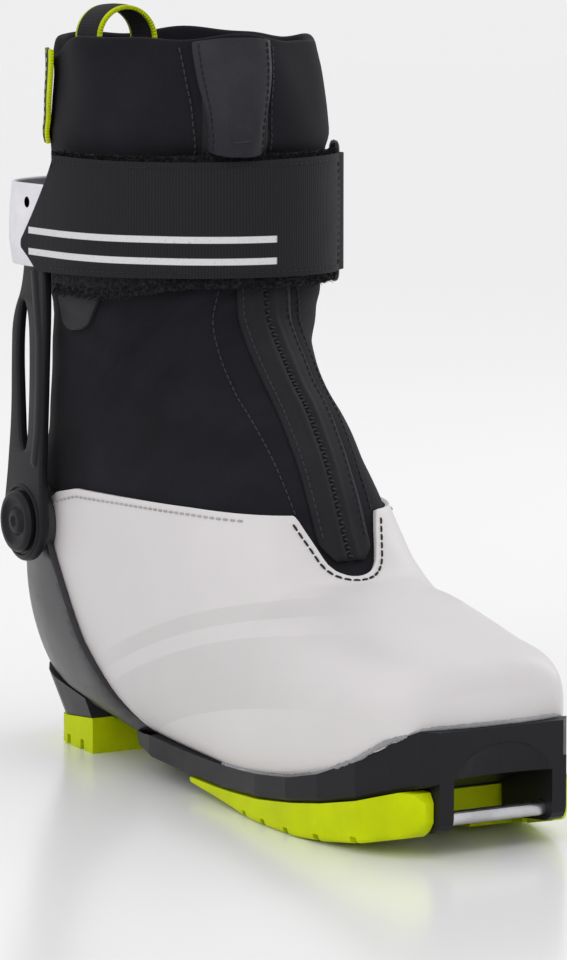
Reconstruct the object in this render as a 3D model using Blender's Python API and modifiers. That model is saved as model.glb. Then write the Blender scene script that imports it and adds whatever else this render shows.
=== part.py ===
"""Cross country skate ski boot, right foot: every piece is its own closed solid.

Frame: metres, +Z up, toe towards -Y, lateral side at -X, medial side at +X.
The origin is on the ground, in the middle of the boot's footprint.
Sizes below are written in millimetres and scaled once, where a mesh is made.
"""
import math

import bmesh
import bpy
from mathutils import Matrix, Vector

MM = 0.001
GAP = 0.3                     # clearance between touching pieces

# ---- driving dimensions, millimetres -------------------------------------------------
TOE_Y = -141.5                # front of the toe fork
PIVOT_Y, PIVOT_Z = 97.0, 84.0  # axis of the two ankle pivots
HUB_R = 10.0                  # clearance radius round the pivot axis
ANKLE_FRONT = (18.0, 41.0)    # flexing wedge in front of the pivot, degrees over level
ANKLE_BACK = (10.0, 26.0)     # flexing wedge behind the pivot

SLEEVE_T = 1.8                # softshell, outer face on the form itself
STIFF_OUT, STIFF_IN = -2.1, -2.9      # toe puff and heel stiffener
LINER_OUT, LINER_IN = -3.2, -6.0
INSOLE_OUT, INSOLE_IN = -6.3, -9.6
TONGUE_OUT, TONGUE_IN = -7.3, -9.3
VAMP_IN, VAMP_OUT = 0.3, 1.8
COUNTER_IN, COUNTER_OUT = 2.1, 4.6
LEG_TOP = 219.0               # height at which the softshell's leg ends and its collar starts

ARM_IN, ARM_OUT = 45.6, 49.1  # cuff arm faces, from the centre plane
BAND_IN, BAND_OUT = 49.4, 51.0
CAP_OUT = 52.6
STRAP_Z0, STRAP_Z1 = 175.5, 216.5
CUFF_Y = 63.5                 # centre of the leg at strap height
CUFF_A, CUFF_B = 45.0, 57.0   # half width and half depth of the leg there
BAR_Y, BAR_Z, BAR_R = -135.5, 12.0, 2.4
BAR_HALF = 22.0
SLOT_HALF, FORK_HALF = 19.0, 24.5

RING_POINTS = 20
# Stations of the upper: front point (y, z), back point (y, z), half width,
# share of the depth behind the widest line, corner exponents at back and front.
STATIONS = (
    (-136.0, 52.0, -136.0, 40.0, 22.0, 0.50, 3.0, 2.8),
    (-134.5, 57.0, -134.5, 35.5, 28.5, 0.45, 3.0, 2.8),
    (-130.0, 61.0, -130.5, 31.0, 34.0, 0.42, 3.2, 3.1),
    (-120.0, 63.5, -120.5, 25.5, 39.5, 0.40, 3.4, 3.3),
    (-104.0, 65.5, -104.5, 20.0, 43.5, 0.38, 3.6, 3.3),
    (-84.0, 69.0, -84.0, 16.2, 46.0, 0.37, 4.0, 3.4),
    (-64.0, 73.5, -61.0, 13.6, 46.5, 0.37, 4.0, 3.2),
    (-51.0, 78.0, -36.0, 12.4, 45.0, 0.38, 4.0, 2.6),
    (-43.0, 91.0, -8.0, 12.0, 43.0, 0.40, 3.8, 2.2),
    (-37.0, 104.0, 22.0, 12.2, 41.5, 0.42, 3.5, 2.2),
    (-29.0, 118.0, 52.0, 13.2, 40.5, 0.45, 3.2, 2.2),
    (-19.0, 131.0, 80.0, 14.8, 40.2, 0.47, 3.0, 2.2),
    (-9.0, 142.0, 104.0, 17.5, 40.0, 0.48, 2.8, 2.2),
    (0.0, 151.0, 123.0, 25.0, 40.0, 0.50, 2.5, 2.2),
    (5.0, 157.5, 133.5, 39.0, 40.0, 0.50, 2.4, 2.2),
    (8.0, 162.0, 136.9, 57.0, 40.0, 0.50, 2.3, 2.2),
    (9.5, 166.0, 134.5, 77.0, 40.6, 0.50, 2.3, 2.2),
    (10.0, 170.0, 128.0, 98.0, 41.2, 0.50, 2.2, 2.2),
    (10.0, 174.0, 122.5, 121.0, 42.0, 0.50, 2.2, 2.2),
    (9.5, 179.0, 120.0, 147.0, 43.0, 0.50, 2.1, 2.1),
    (8.5, 188.0, 119.5, 173.0, 44.3, 0.50, 2.1, 2.1),
    (7.5, 201.0, 120.0, 195.0, 45.0, 0.50, 2.0, 2.0),
    (6.5, 217.0, 120.0, 216.5, 45.0, 0.50, 2.0, 2.0),
    (3.0, 228.0, 120.5, 228.0, 45.0, 0.50, 2.0, 2.0),
    (5.5, 242.0, 120.0, 242.0, 43.8, 0.50, 2.0, 2.0),
    (12.0, 256.0, 118.0, 256.0, 43.5, 0.50, 2.0, 2.0),
)
# The forefoot is a little narrower on its medial side: share of the half width, by station and by y.
MEDIAL_BY_STATION = ((0.0, 0.82), (2.0, 0.84), (4.0, 0.87), (5.0, 0.90), (6.0, 0.95), (7.0, 1.0))
MEDIAL_BY_Y = ((-141.5, 0.93), (-130.0, 0.86), (-104.0, 0.87), (-84.0, 0.90), (-62.0, 0.95), (-50.0, 1.0))
THROAT_STATION = 7            # where the zip starts
COLLAR_STATION = len(STATIONS) - 1
# Zip line: sideways drift of its centre, by station, from the leg's middle to the outside.
ZIP_DRIFT = {20: -2.5, 21: -7.0, 22: -12.0, 23: -13.0, 24: -12.0, 25: -10.0}

# Sole stations: y, half width, chassis underside, chassis rim.
SOLE = (
    (-141.5, 25.0, 24.5, 41.5),
    (-138.0, 29.5, 23.6, 42.0),
    (-130.0, 36.0, 21.2, 38.0),
    (-118.0, 41.8, 17.6, 30.5),
    (-100.0, 45.2, 14.0, 23.5),
    (-82.0, 46.4, 11.3, 19.5),
    (-60.0, 45.0, 8.7, 17.0),
    (-31.0, 41.0, 6.6, 15.0),
    (0.0, 37.5, 6.2, 14.5),
    (30.0, 34.5, 6.8, 15.0),
    (44.0, 31.0, 8.0, 16.0),
    (54.0, 26.0, 9.5, 16.5),
)
# Underside of the forefoot tread: y, height.
ROCKER = ((-141.5, 8.6), (-133.0, 6.6), (-118.0, 3.2), (-100.0, 1.0), (-85.0, 0.0), (-50.0, 0.0),
          (-25.0, 2.0), (-3.0, 3.9))


# ---- small helpers -------------------------------------------------------------------
def clear_scene():
    for old in list(bpy.data.objects):
        bpy.data.objects.remove(old, do_unlink=True)


def new_collection(name):
    made = bpy.data.collections.new(name)
    bpy.context.scene.collection.children.link(made)
    return made


def material(name, colour, roughness, metallic=0.0):
    made = bpy.data.materials.get(name)
    if made:
        return made
    made = bpy.data.materials.new(name)
    made.use_nodes = True
    shader = made.node_tree.nodes["Principled BSDF"]
    shader.inputs["Base Color"].default_value = (*colour, 1.0)
    shader.inputs["Roughness"].default_value = roughness
    shader.inputs["Metallic"].default_value = metallic
    made.diffuse_color = (*colour, 1.0)
    return made


SOFTSHELL = ("softshell_black", (0.012, 0.012, 0.015), 0.75)
LINER = ("liner_knit", (0.03, 0.03, 0.035), 0.9)
VAMP = ("vamp_white", (0.66, 0.64, 0.64), 0.42)
COUNTER = ("counter_grey", (0.10, 0.10, 0.105), 0.28)
BASE = ("heel_base_grey", (0.045, 0.045, 0.048), 0.5)
CHASSIS = ("chassis_black", (0.028, 0.028, 0.032), 0.55)
LIME = ("outsole_lime", (0.53, 0.67, 0.0), 0.5)
STEEL = ("bar_steel", (0.62, 0.62, 0.64), 0.25, 1.0)
ZIP = ("zip_grey", (0.035, 0.038, 0.045), 0.6)
PULL = ("pull_coated", (0.035, 0.038, 0.045), 0.5)
STRAP = ("strap_webbing", (0.018, 0.018, 0.021), 0.8)
BAND = ("cuff_white", (0.72, 0.70, 0.73), 0.45)
ARM = ("arm_composite", (0.03, 0.03, 0.033), 0.4)
BOARD = ("board_fibre", (0.35, 0.30, 0.22), 0.9)
FOAM = ("insole_foam", (0.08, 0.09, 0.08), 0.9)


def add_object(name, mesh, look, smooth=40.0):
    """Put a finished mesh in the boot's collection with its own material."""
    made = bpy.data.objects.new(name, mesh)
    BOOT.objects.link(made)
    mesh.materials.append(material(name + "_" + look[0], *look[1:]))
    mesh.shade_smooth()
    mesh.set_sharp_from_angle(angle=math.radians(smooth))
    return made


def mesh_from(name, points, faces):
    """Closed mesh from points in millimetres, with its faces turned outward."""
    mesh = bpy.data.meshes.new(name)
    shape = bmesh.new()
    corners = [shape.verts.new(Vector(p) * MM) for p in points]
    for face in faces:
        shape.faces.new([corners[i] for i in face])
    bmesh.ops.recalc_face_normals(shape, faces=shape.faces)
    shape.to_mesh(mesh)
    shape.free()
    return mesh


def cutter(name, mesh):
    made = bpy.data.objects.new(name, mesh)
    made.hide_render = True
    made.display_type = "WIRE"
    CUTTERS.objects.link(made)
    return made


def prism_mesh(name, outline, x0, x1):
    """Side-view outline (y, z) carried across from x0 to x1."""
    count = len(outline)
    points = [(x, y, z) for x in (x0, x1) for y, z in outline]
    faces = [tuple(range(count)), tuple(range(count, 2 * count))]
    faces += [(i, (i + 1) % count, count + (i + 1) % count, count + i) for i in range(count)]
    return mesh_from(name, points, faces)


def side_cutter(name, outline, x0=-80.0, x1=80.0):
    return cutter(name, prism_mesh(name, outline, x0, x1))


def plan_cutter(name, outline, z0, z1):
    """Plan-view outline (x, y) carried up from z0 to z1."""
    count = len(outline)
    points = [(x, y, z) for z in (z0, z1) for x, y in outline]
    faces = [tuple(range(count)), tuple(range(count, 2 * count))]
    faces += [(i, (i + 1) % count, count + (i + 1) % count, count + i) for i in range(count)]
    return cutter(name, mesh_from(name, points, faces))


def box_cutter(name, low, high):
    size = [b - a for a, b in zip(low, high)]
    centre = [(a + b) / 2 for a, b in zip(low, high)]
    mesh = bpy.data.meshes.new(name)
    shape = bmesh.new()
    bmesh.ops.create_cube(shape, size=1.0)
    bmesh.ops.scale(shape, vec=Vector(size) * MM, verts=shape.verts)
    bmesh.ops.translate(shape, vec=Vector(centre) * MM, verts=shape.verts)
    shape.to_mesh(mesh)
    shape.free()
    return cutter(name, mesh)


def combine(made, other, how):
    step = made.modifiers.new(how.lower(), "BOOLEAN")
    step.operation = how
    step.solver = "EXACT"
    step.object = other
    return made


def cut(made, *others):
    for other in others:
        combine(made, other, "DIFFERENCE")
    return made


def keep(made, *others):
    for other in others:
        combine(made, other, "INTERSECT")
    return made


def join(made, *others):
    for other in others:
        combine(made, other, "UNION")
    return made


def bevelled(made, width, segments=2, angle=40.0):
    step = made.modifiers.new("rounding", "BEVEL")
    step.width = width * MM
    step.segments = segments
    step.limit_method = "ANGLE"
    step.angle_limit = math.radians(angle)
    return made


def disc(name, x0, x1, radius, look, steps=24, rounding=0.0, y=PIVOT_Y, z=PIVOT_Z):
    """Round plate or pin along X, from x0 to x1, with its origin on its own axis."""
    mesh = bpy.data.meshes.new(name)
    shape = bmesh.new()
    bmesh.ops.create_cone(shape, cap_ends=True, segments=steps, radius1=radius * MM,
                          radius2=radius * MM, depth=abs(x1 - x0) * MM)
    bmesh.ops.rotate(shape, verts=shape.verts, matrix=Matrix.Rotation(math.pi / 2, 3, "Y"))
    shape.to_mesh(mesh)
    shape.free()
    if look is None:
        made = cutter(name, mesh)
    else:
        made = add_object(name, mesh, look)
    made.location = Vector(((x0 + x1) / 2, y, z)) * MM
    if rounding:
        bevelled(made, rounding, 1)
    return made


# ---- the form of the upper -----------------------------------------------------------
def station(s):
    """Station values at s, a smooth curve through the table's rows."""
    i = min(max(int(math.floor(s)), 0), COLLAR_STATION - 1)
    t = s - i
    rows = [STATIONS[min(max(k, 0), COLLAR_STATION)] for k in (i - 1, i, i + 1, i + 2)]
    out = []
    for a, b, c, d in zip(*rows):
        out.append(0.5 * (2 * b + (c - a) * t + (2 * a - 5 * b + 4 * c - d) * t * t
                          + (3 * b - a - 3 * c + d) * t ** 3))
    return out


def at(rows, y, column=1):
    """Value of a column of rows at y, straight between the rows."""
    if y <= rows[0][0]:
        return rows[0][column]
    for low, high in zip(rows, rows[1:]):
        if y <= high[0]:
            t = (y - low[0]) / (high[0] - low[0])
            return low[column] + (high[column] - low[column]) * t
    return rows[-1][column]


def power(value, exponent):
    return math.copysign(abs(value) ** exponent, value)


def form_point(s, angle):
    """Point of the form at station s; angle 90 degrees is the front, 0 is medial."""
    fy, fz, by, bz, half, share, n_back, n_front = station(s)
    c, h = math.cos(angle), math.sin(angle)
    n = n_front if h >= 0 else n_back
    up = share + (1 - share) * power(h, 2 / n) if h >= 0 else share + share * power(h, 2 / n)
    x = half * power(c, 2 / n)
    if x > 0:
        x *= at(MEDIAL_BY_STATION, s)
    return Vector((x, by + (fy - by) * up, bz + (fz - bz) * up))


def form_normal(s, angle):
    reach = 0.02
    s0, s1 = max(s - reach, 0.0), min(s + reach, COLLAR_STATION)
    along = form_point(s1, angle) - form_point(s0, angle)
    turn = 0.03
    around = form_point(s, angle + turn) - form_point(s, angle - turn)
    normal = around.cross(along)
    fy, fz, by, bz, _, share = station(s)[:6]
    middle = Vector((0.0, by + (fy - by) * share, bz + (fz - bz) * share))
    if normal.dot(form_point(s, angle) - middle) < 0:
        normal = -normal
    normal = normal.normalized()
    if s == 0:
        normal = Vector((normal.x, 0.0, normal.z)).normalized() + Vector((0.0, -1.0, 0.0))
    return normal


def skin_point(s, angle, offset):
    return form_point(s, angle) + form_normal(s, angle) * offset


def ring_angles():
    return [2 * math.pi * k / RING_POINTS for k in range(RING_POINTS)]


def skin(offset):
    rings = [[skin_point(float(s), a, offset) for a in ring_angles()] for s in range(COLLAR_STATION + 1)]
    tip = Vector((0.0, STATIONS[0][0] - offset, (STATIONS[0][1] + STATIONS[0][3]) / 2))
    return rings, tip


def skin_faces(rings, start, tip_index, flip):
    n = RING_POINTS
    faces = []
    for r in range(rings - 1):
        for k in range(n):
            a, b = start + r * n + k, start + r * n + (k + 1) % n
            for tri in ((a, b, b + n), (a, b + n, a + n)):
                faces.append(tuple(reversed(tri)) if flip else tri)
    for k in range(n):
        tri = (tip_index, start + (k + 1) % n, start + k)
        faces.append(tuple(reversed(tri)) if flip else tri)
    return faces


def sock_mesh(name, outer, inner):
    """Sock-shaped shell between two offsets of the form, open at the collar."""
    points, faces, starts = [], [], []
    for offset, flip in ((outer, False), (inner, True)):
        rings, tip = skin(offset)
        start = len(points)
        starts.append(start)
        points += [p for ring in rings for p in ring] + [tip]
        faces += skin_faces(len(rings), start, len(points) - 1, flip)
    n = RING_POINTS
    rim = COLLAR_STATION * n
    for k in range(n):
        a, b = starts[0] + rim + k, starts[0] + rim + (k + 1) % n
        c, d = starts[1] + rim + (k + 1) % n, starts[1] + rim + k
        faces.append((a, b, c, d))
    return mesh_from(name, points, faces)


def solid_mesh(name, offset):
    """Filled form at one offset, closed at the collar."""
    rings, tip = skin(offset)
    points = [p for ring in rings for p in ring] + [tip]
    faces = skin_faces(len(rings), 0, len(points) - 1, False)
    n = RING_POINTS
    faces.append(tuple(COLLAR_STATION * n + k for k in range(n)))
    return mesh_from(name, points, faces)


def sock(name, outer, inner, look):
    return add_object(name, sock_mesh(name, outer, inner), look, 60.0)


# ---- side-view outlines --------------------------------------------------------------
FAR = 260.0


def polar(degrees, radius, shift=0.0):
    """Point from the pivot axis at an angle from +Y; shift moves it to the left of the ray."""
    a = math.radians(degrees)
    y = PIVOT_Y + radius * math.cos(a) - shift * math.sin(a)
    z = PIVOT_Z + radius * math.sin(a) + shift * math.cos(a)
    return y, z


def hub_arc(start, end, radius, steps=8):
    return [polar(start + (end - start) * k / steps, radius) for k in range(steps + 1)]


def ankle_outline():
    front_low, front_high = 180 - ANKLE_FRONT[0], 180 - ANKLE_FRONT[1]
    back_low, back_high = ANKLE_BACK
    return ([polar(front_low, FAR), polar(front_high, FAR)] + hub_arc(front_high, back_high, HUB_R)
            + [polar(back_high, FAR), polar(back_low, FAR)] + hub_arc(back_low, front_low - 360, HUB_R))


def above_lower_outline():
    """Everything over the boot's own half of the sleeve."""
    front, back = 180 - ANKLE_FRONT[0], ANKLE_BACK[0]
    return ([polar(front, FAR, GAP)] + hub_arc(front, back + 360, HUB_R + GAP)
            + [polar(back, FAR, -GAP), (400.0, 400.0), (-400.0, 400.0)])


def below_collar_outline():
    """Everything under the leg's half of the sleeve."""
    front, back = 180 - ANKLE_FRONT[1], ANKLE_BACK[1]
    return ([polar(front, FAR, -GAP)] + hub_arc(front, back, HUB_R + GAP)
            + [polar(back, FAR, GAP), (400.0, -200.0), (-400.0, -200.0)])


def arc(centre, radius, start, end, steps):
    """Points of a flat arc, degrees, as (u, v) pairs."""
    out = []
    for k in range(steps + 1):
        a = math.radians(start + (end - start) * k / steps)
        out.append((centre[0] + radius * math.cos(a), centre[1] + radius * math.sin(a)))
    return out


# ---- sole ----------------------------------------------------------------------------
def hull_mesh(name, rows, rounding=2.5):
    """Closed bar along Y from rows of (y, half width, bottom, top), with rounded lower edges."""
    points, faces = [], []
    for y, half, low, high in rows:
        r = min(rounding, (high - low) * 0.45, half * 0.45)
        medial = half * at(MEDIAL_BY_Y, y)
        ring = [(medial, high), (-half, high)]
        ring += arc((-half + r, low + r), r, 180, 270, 3)
        ring += arc((medial - r, low + r), r, 270, 360, 3)
        points += [(x, y, z) for x, z in ring]
    n = len(ring)
    for r in range(len(rows) - 1):
        for k in range(n):
            a, b = r * n + k, r * n + (k + 1) % n
            faces.append((a, b, b + n, a + n))
    last = (len(rows) - 1) * n
    faces += [tuple(range(n)), tuple(range(last, last + n))]
    return mesh_from(name, points, faces)


def bar_hole():
    return disc("cut_bar_hole", -BAR_HALF - GAP, BAR_HALF + GAP, BAR_R + GAP, None, 24, 0.0, BAR_Y, BAR_Z)


def toe_slot():
    """Open-bottomed slot between the fork arms, its roof rising to the front."""
    roof = [(-110.3, -5.0), (-110.3, 16.5), (-120.0, 21.0), (-130.0, 25.0), (-160.0, 27.0), (-160.0, -5.0)]
    return side_cutter("cut_toe_slot", roof, -SLOT_HALF, SLOT_HALF)


def scoop():
    """Arched hollow in the bumper over the slot."""
    mesh = bpy.data.meshes.new("cut_scoop")
    shape = bmesh.new()
    bmesh.ops.create_uvsphere(shape, u_segments=20, v_segments=12, radius=MM)
    bmesh.ops.scale(shape, vec=Vector((18.4, 4.6, 11.0)), verts=shape.verts)
    bmesh.ops.translate(shape, vec=Vector((0.0, TOE_Y - 1.2, 26.0)) * MM, verts=shape.verts)
    shape.to_mesh(mesh)
    shape.free()
    return cutter("cut_scoop", mesh)


def fork_arm(side):
    """Arm of the toe fork: upright plate with a rounded lower front corner."""
    nose = arc((TOE_Y + 5.0, 13.0), 5.0, 180, 270, 4)
    outline = nose + [(-112.0, 5.5), (-112.0, 24.0), (TOE_Y, 30.0)]
    low, high = sorted((side * SLOT_HALF, side * FORK_HALF))
    return side_cutter("add_fork_arm_%s" % ("medial" if side > 0 else "lateral"), outline, low, high)


def sole_chassis():
    rows = [(y, half, low, high) for y, half, low, high in SOLE]
    made = add_object("sole_chassis", hull_mesh("sole_chassis", rows), CHASSIS)
    join(made, fork_arm(1), fork_arm(-1))
    cut(made, FORM_OVER_VAMP, FORM_OVER_WINGS, toe_slot(), scoop(), bar_hole())
    return made


def toe_bar():
    return disc("toe_bar", -BAR_HALF, BAR_HALF, BAR_R, STEEL, 24, 0.5, BAR_Y, BAR_Z)


def tread_notches(name, spots):
    """Cross grooves in a tread block, each spot its y, width and upper end."""
    out = []
    for k, (y, width, top) in enumerate(spots):
        outline = [(y - width / 2, -3.0), (y + width / 2, -3.0), (y + width / 3, top), (y - width / 3, top)]
        out.append(side_cutter("%s_%d" % (name, k), outline))
    return out


# Rounded front end of the pads: y, half width, bottom, top; then how far their sides draw in behind it.
PAD_NOSE = [(-138.5, 28.0, 12.0, 18.5), (-136.5, 31.5, 9.0, 21.5)]
PAD_TAPER = ((-133.0, 0.0), (-110.0, 1.6), (-100.0, 2.0))


def forefoot_outsole():
    """Rockered tread with a channel for the binding's ridge and pads outside the fork arms."""
    ys = [-133.0, -126.0, -118.0, -109.0, -100.0, -92.0, -85.0, -72.0, -60.0, -50.0, -38.0, -25.0, -14.0, -3.0]
    rows = PAD_NOSE + [(y, at(SOLE, y) + 1.2 - at(PAD_TAPER, y), at(ROCKER, y), at(SOLE, y, 2) - GAP) for y in ys]
    made = add_object("forefoot_outsole", hull_mesh("forefoot_outsole", rows, 2.0), LIME)
    fork = box_cutter("cut_fork_room", (-FORK_HALF - GAP, -170.0, -10.0), (FORK_HALF + GAP, -109.7, 60.0))
    ridge = box_cutter("cut_ridge_channel", (-8.0, -112.0, -10.0), (8.0, 10.0, 4.2))
    spots = [(y, 4.2, at(ROCKER, y) + 2.4) for y in (-117.0, -98.0, -80.0, -64.0, -49.0)]
    cut(made, fork, ridge, *tread_notches("cut_forefoot_notch", spots))
    return made


def heel_plan(radius):
    """D-shaped plan of the heel: straight in front, round behind."""
    return [(-radius - 1.5, 79.5), (radius + 1.5, 79.5)] + arc((0.0, 97.0), radius, 0, 180, 14)


def heel_slope():
    """Sloping top of the heel lug, high in front and low behind."""
    return [(70.0, 14.0), (140.0, 7.0)]


def taper_mesh(name, low_outline, z0, high_outline, z1):
    """Closed block between two plan outlines with as many points."""
    count = len(low_outline)
    points = [(x, y, z0) for x, y in low_outline] + [(x, y, z1) for x, y in high_outline]
    faces = [tuple(range(count)), tuple(range(count, 2 * count))]
    faces += [(i, (i + 1) % count, count + (i + 1) % count, count + i) for i in range(count)]
    return mesh_from(name, points, faces)


def heel_outsole():
    mesh = plan_cutter("block_heel_outsole", heel_plan(28.5), 0.0, 24.0).data
    made = add_object("heel_outsole", mesh.copy(), LIME)
    over = heel_slope() + [(140.0, 60.0), (70.0, 60.0)]
    notches = tread_notches("cut_heel_notch", [(y, 4.2, 3.8) for y in (89.0, 101.0, 113.0)])
    cut(made, side_cutter("cut_heel_lug_top", over), FORM_OVER_BASE, *notches)
    return made


SEAM = ((60.0, 17.0), (134.0, 30.5))      # seam between heel counter and heel base, in side view
SEAM_END = 42.5               # its height 200 mm behind the origin


def heel_cup_base():
    """Moulded cup under the heel, with a pedestal that fills down to the heel outsole."""
    made = sock("heel_cup_base", COUNTER_OUT, COUNTER_IN, BASE)
    pedestal = cutter("add_heel_pedestal", taper_mesh("add_heel_pedestal", heel_plan(24.0), 0.0,
                                                      heel_plan(36.5), 34.0))
    under = [(y, z + GAP) for y, z in heel_slope()] + [(140.0, -20.0), (70.0, -20.0)]
    cut(pedestal, side_cutter("cut_heel_pedestal_foot", under))
    region = [(62.3, -20.0), (62.3, SEAM[0][1] + 0.4), SEAM[1], (200.0, SEAM_END), (200.0, -20.0)]
    keep(made, side_cutter("keep_heel_base", region))
    cut(pedestal, FORM_IN_WALL)
    return cut(join(made, pedestal), FORM_SEAM_TOP)


# ---- upper ---------------------------------------------------------------------------
WING = ((93.0, 86.0), (84.5, 71.0), (66.5, 44.0), (48.5, 26.0), (33.0, 15.5))


def vamp_cover():
    """Coated cover of the forefoot, with the U-shaped throat for the zip."""
    made = sock("vamp_cover", VAMP_OUT, VAMP_IN, VAMP)
    back = [(y + 8.0, z) for y, z in reversed(WING)]
    top = [(95.5, 88.0), (84.5, 92.5), (69.5, 97.5), (-2.0, 99.5), (-60.0, 99.0), (-170.0, 99.0)]
    region = [(-170.0, -20.0), (40.0, -20.0)] + back + top
    keep(made, side_cutter("keep_vamp", region))
    cut(made, throat_cutter(), board_cutter("cut_board_opening", GAP))
    return made


def throat_cutter():
    """U outline that leans back with the instep, carried through the front of the upper."""
    bottom, lean = Vector((0.0, -49.5, 79.5)), math.radians(57)
    up = Vector((0.0, math.cos(lean), math.sin(lean)))
    out = Vector((0.0, -math.sin(lean), math.cos(lean)))
    curve = [(-19.5, 40.0), (-16.0, 22.0)] + arc((0.0, 9.0), 11.0, 200, 340, 8) + [(16.0, 22.0), (19.5, 40.0)]
    points = []
    for depth in (-13.0, 30.0):
        points += [bottom + Vector((u, 0.0, 0.0)) + up * v + out * depth for u, v in curve]
    n = len(curve)
    faces = [tuple(range(n)), tuple(range(n, 2 * n))]
    faces += [(k, (k + 1) % n, n + (k + 1) % n, n + k) for k in range(n)]
    return cutter("cut_throat", mesh_from("cut_throat", points, faces))


def board_cutter(name, extra):
    """Plan of the lasting board, a narrower sole outline."""
    rows = [(-112.0, 18.0), (-104.0, 26.0), (-84.0, 31.0), (-60.0, 31.0), (-20.0, 26.0), (28.0, 23.0)]
    right = [(half + extra, y) for y, half in rows]
    right[0] = (right[0][0], right[0][1] - extra)
    right[-1] = (right[-1][0], right[-1][1] + extra)
    left = [(-x, y) for x, y in reversed(right)]
    return plan_cutter(name, right + left, -5.0, 30.0)


def lasting_board():
    made = sock("lasting_board", VAMP_OUT, VAMP_IN, BOARD)
    return keep(made, board_cutter("keep_lasting_board", 0.0))


def toe_puff():
    made = sock("toe_puff", STIFF_OUT, STIFF_IN, BOARD)
    region = [(-170.0, 36.0), (-108.0, 36.0), (-100.0, 50.0), (-100.0, 90.0), (-170.0, 90.0)]
    return keep(made, side_cutter("keep_toe_puff", region))


def heel_stiffener():
    made = sock("heel_stiffener", STIFF_OUT, STIFF_IN, BOARD)
    region = [(70.0, 22.0), (160.0, 40.0), (160.0, 78.0), (98.0, 72.0)]
    return keep(made, side_cutter("keep_heel_stiffener", region))


def heel_counter():
    """Moulded heel shell with forward wings and a boss for each ankle pivot."""
    made = sock("heel_counter", COUNTER_OUT, COUNTER_IN, COUNTER)
    seam = [(y, z + GAP + 0.6) for y, z in SEAM]
    top = [(97.0, 95.0), (110.0, 94.0), (170.0, 88.0), (170.0, SEAM_END - 4.6)]
    region = [seam[0], (34.0, 8.0)] + list(reversed(WING)) + top + [seam[1]]
    keep(made, side_cutter("keep_counter", region))
    for side, name in ((-1, "lateral"), (1, "medial")):
        x0, x1 = sorted((side * 34.0, side * (ARM_IN - GAP - 1.0)))
        boss = disc("add_boss_" + name, x0, x1, 11.0, None, 24)
        join(made, cut(boss, FORM_IN_WALL))
    for side, name in ((-1, "lateral"), (1, "medial")):
        x0, x1 = sorted((side * 30.0, side * 60.0))
        cut(made, disc("cut_boss_hole_" + name, x0, x1, 4.0 + GAP, None, 20))
    return made


def bootie_layer(prefix, outer, inner, look):
    """One layer of the bootie, split where the ankle flexes."""
    low = sock(prefix + "_lower", outer, inner, look)
    cut(low, ABOVE_LOWER)
    middle = sock(prefix + "_ankle", outer, inner, look)
    keep(middle, ANKLE_ZONE)
    high = sock(prefix + "_collar", outer, inner, look)
    cut(high, BELOW_COLLAR)
    return high


def softshell():
    """Outer layer of the bootie, its leg also split above the strap."""
    collar = bootie_layer("sleeve", 0.0, -SLEEVE_T, SOFTSHELL)
    leg = sock("sleeve_leg", 0.0, -SLEEVE_T, SOFTSHELL)
    cut(leg, BELOW_COLLAR, box_cutter("cut_above_leg", (-90.0, -90.0, LEG_TOP), (90.0, 170.0, 300.0)))
    cut(collar, box_cutter("cut_below_neck", (-90.0, -90.0, 40.0), (90.0, 170.0, LEG_TOP + GAP)))


def insole():
    made = sock("insole", INSOLE_OUT, INSOLE_IN, FOAM)
    region = [(-170.0, 44.0), (-118.0, 35.0), (-84.0, 25.0), (0.0, 21.5), (80.0, 25.0), (160.0, 44.0),
              (160.0, -20.0), (-170.0, -20.0)]
    return keep(made, side_cutter("keep_insole", region))


# ---- strips that follow the front of the form ----------------------------------------
def front_angle(s, x):
    """Angle on the front half of station s at which the form is x from its centre plane."""
    values = station(s)
    share = min(abs(x) / values[4], 0.98)
    return math.acos(math.copysign(share ** (values[7] / 2), x))


def drift(s):
    low = math.floor(s)
    t = s - low
    return ZIP_DRIFT.get(low, 0.0) * (1 - t) + ZIP_DRIFT.get(low + 1, 0.0) * t


def strip_mesh(name, stops, edges, inner, thickness):
    """Closed strip: stops are stations, edges(s) its x values, inner(s, x) its offset."""
    layers = []
    for extra in (0.0, thickness):
        rows = []
        for s in stops:
            xs = edges(s)
            rows.append([skin_point(s, front_angle(s, x), inner(s, x) + extra) for x in xs])
        layers.append(rows)
    rows, columns = len(stops), len(layers[0][0])
    points = [p for layer in layers for row in layer for p in row]

    def index(layer, r, k):
        return layer * rows * columns + r * columns + k

    faces = []
    for r in range(rows - 1):
        for k in range(columns - 1):
            quad = (index(0, r, k), index(0, r, k + 1), index(0, r + 1, k + 1), index(0, r + 1, k))
            faces += [quad, tuple(v + rows * columns for v in reversed(quad))]
        for k in (0, columns - 1):
            faces.append((index(0, r, k), index(0, r + 1, k), index(1, r + 1, k), index(1, r, k)))
    for r in (0, rows - 1):
        for k in range(columns - 1):
            faces.append((index(0, r, k), index(0, r, k + 1), index(1, r, k + 1), index(1, r, k)))
    return mesh_from(name, points, faces)


def spread(low, high, steps):
    return [low + (high - low) * k / steps for k in range(steps + 1)]


ZIP_STOPS = [THROAT_STATION + 0.5] + [float(s) for s in range(THROAT_STATION + 1, COLLAR_STATION)] + [24.9]


def zip_tape(side, name):
    """Half of the zip: a tape beside the coil."""
    def edges(s):
        near, far = drift(s) + side * 2.4, drift(s) + side * 10.0
        return spread(*sorted((near, far)), 3)

    return add_object(name, strip_mesh(name, ZIP_STOPS, edges, lambda s, x: 0.9, 0.8), ZIP)


def zip_coil():
    mesh = strip_mesh("zip_coil", ZIP_STOPS, lambda s: spread(drift(s) - 2.0, drift(s) + 2.0, 2),
                      lambda s, x: 0.9, 1.1)
    return add_object("zip_coil", mesh, CHASSIS)


SLIDER_S = 23.45              # station of the zip slider
SLIDER_OFF = 2.5


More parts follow.
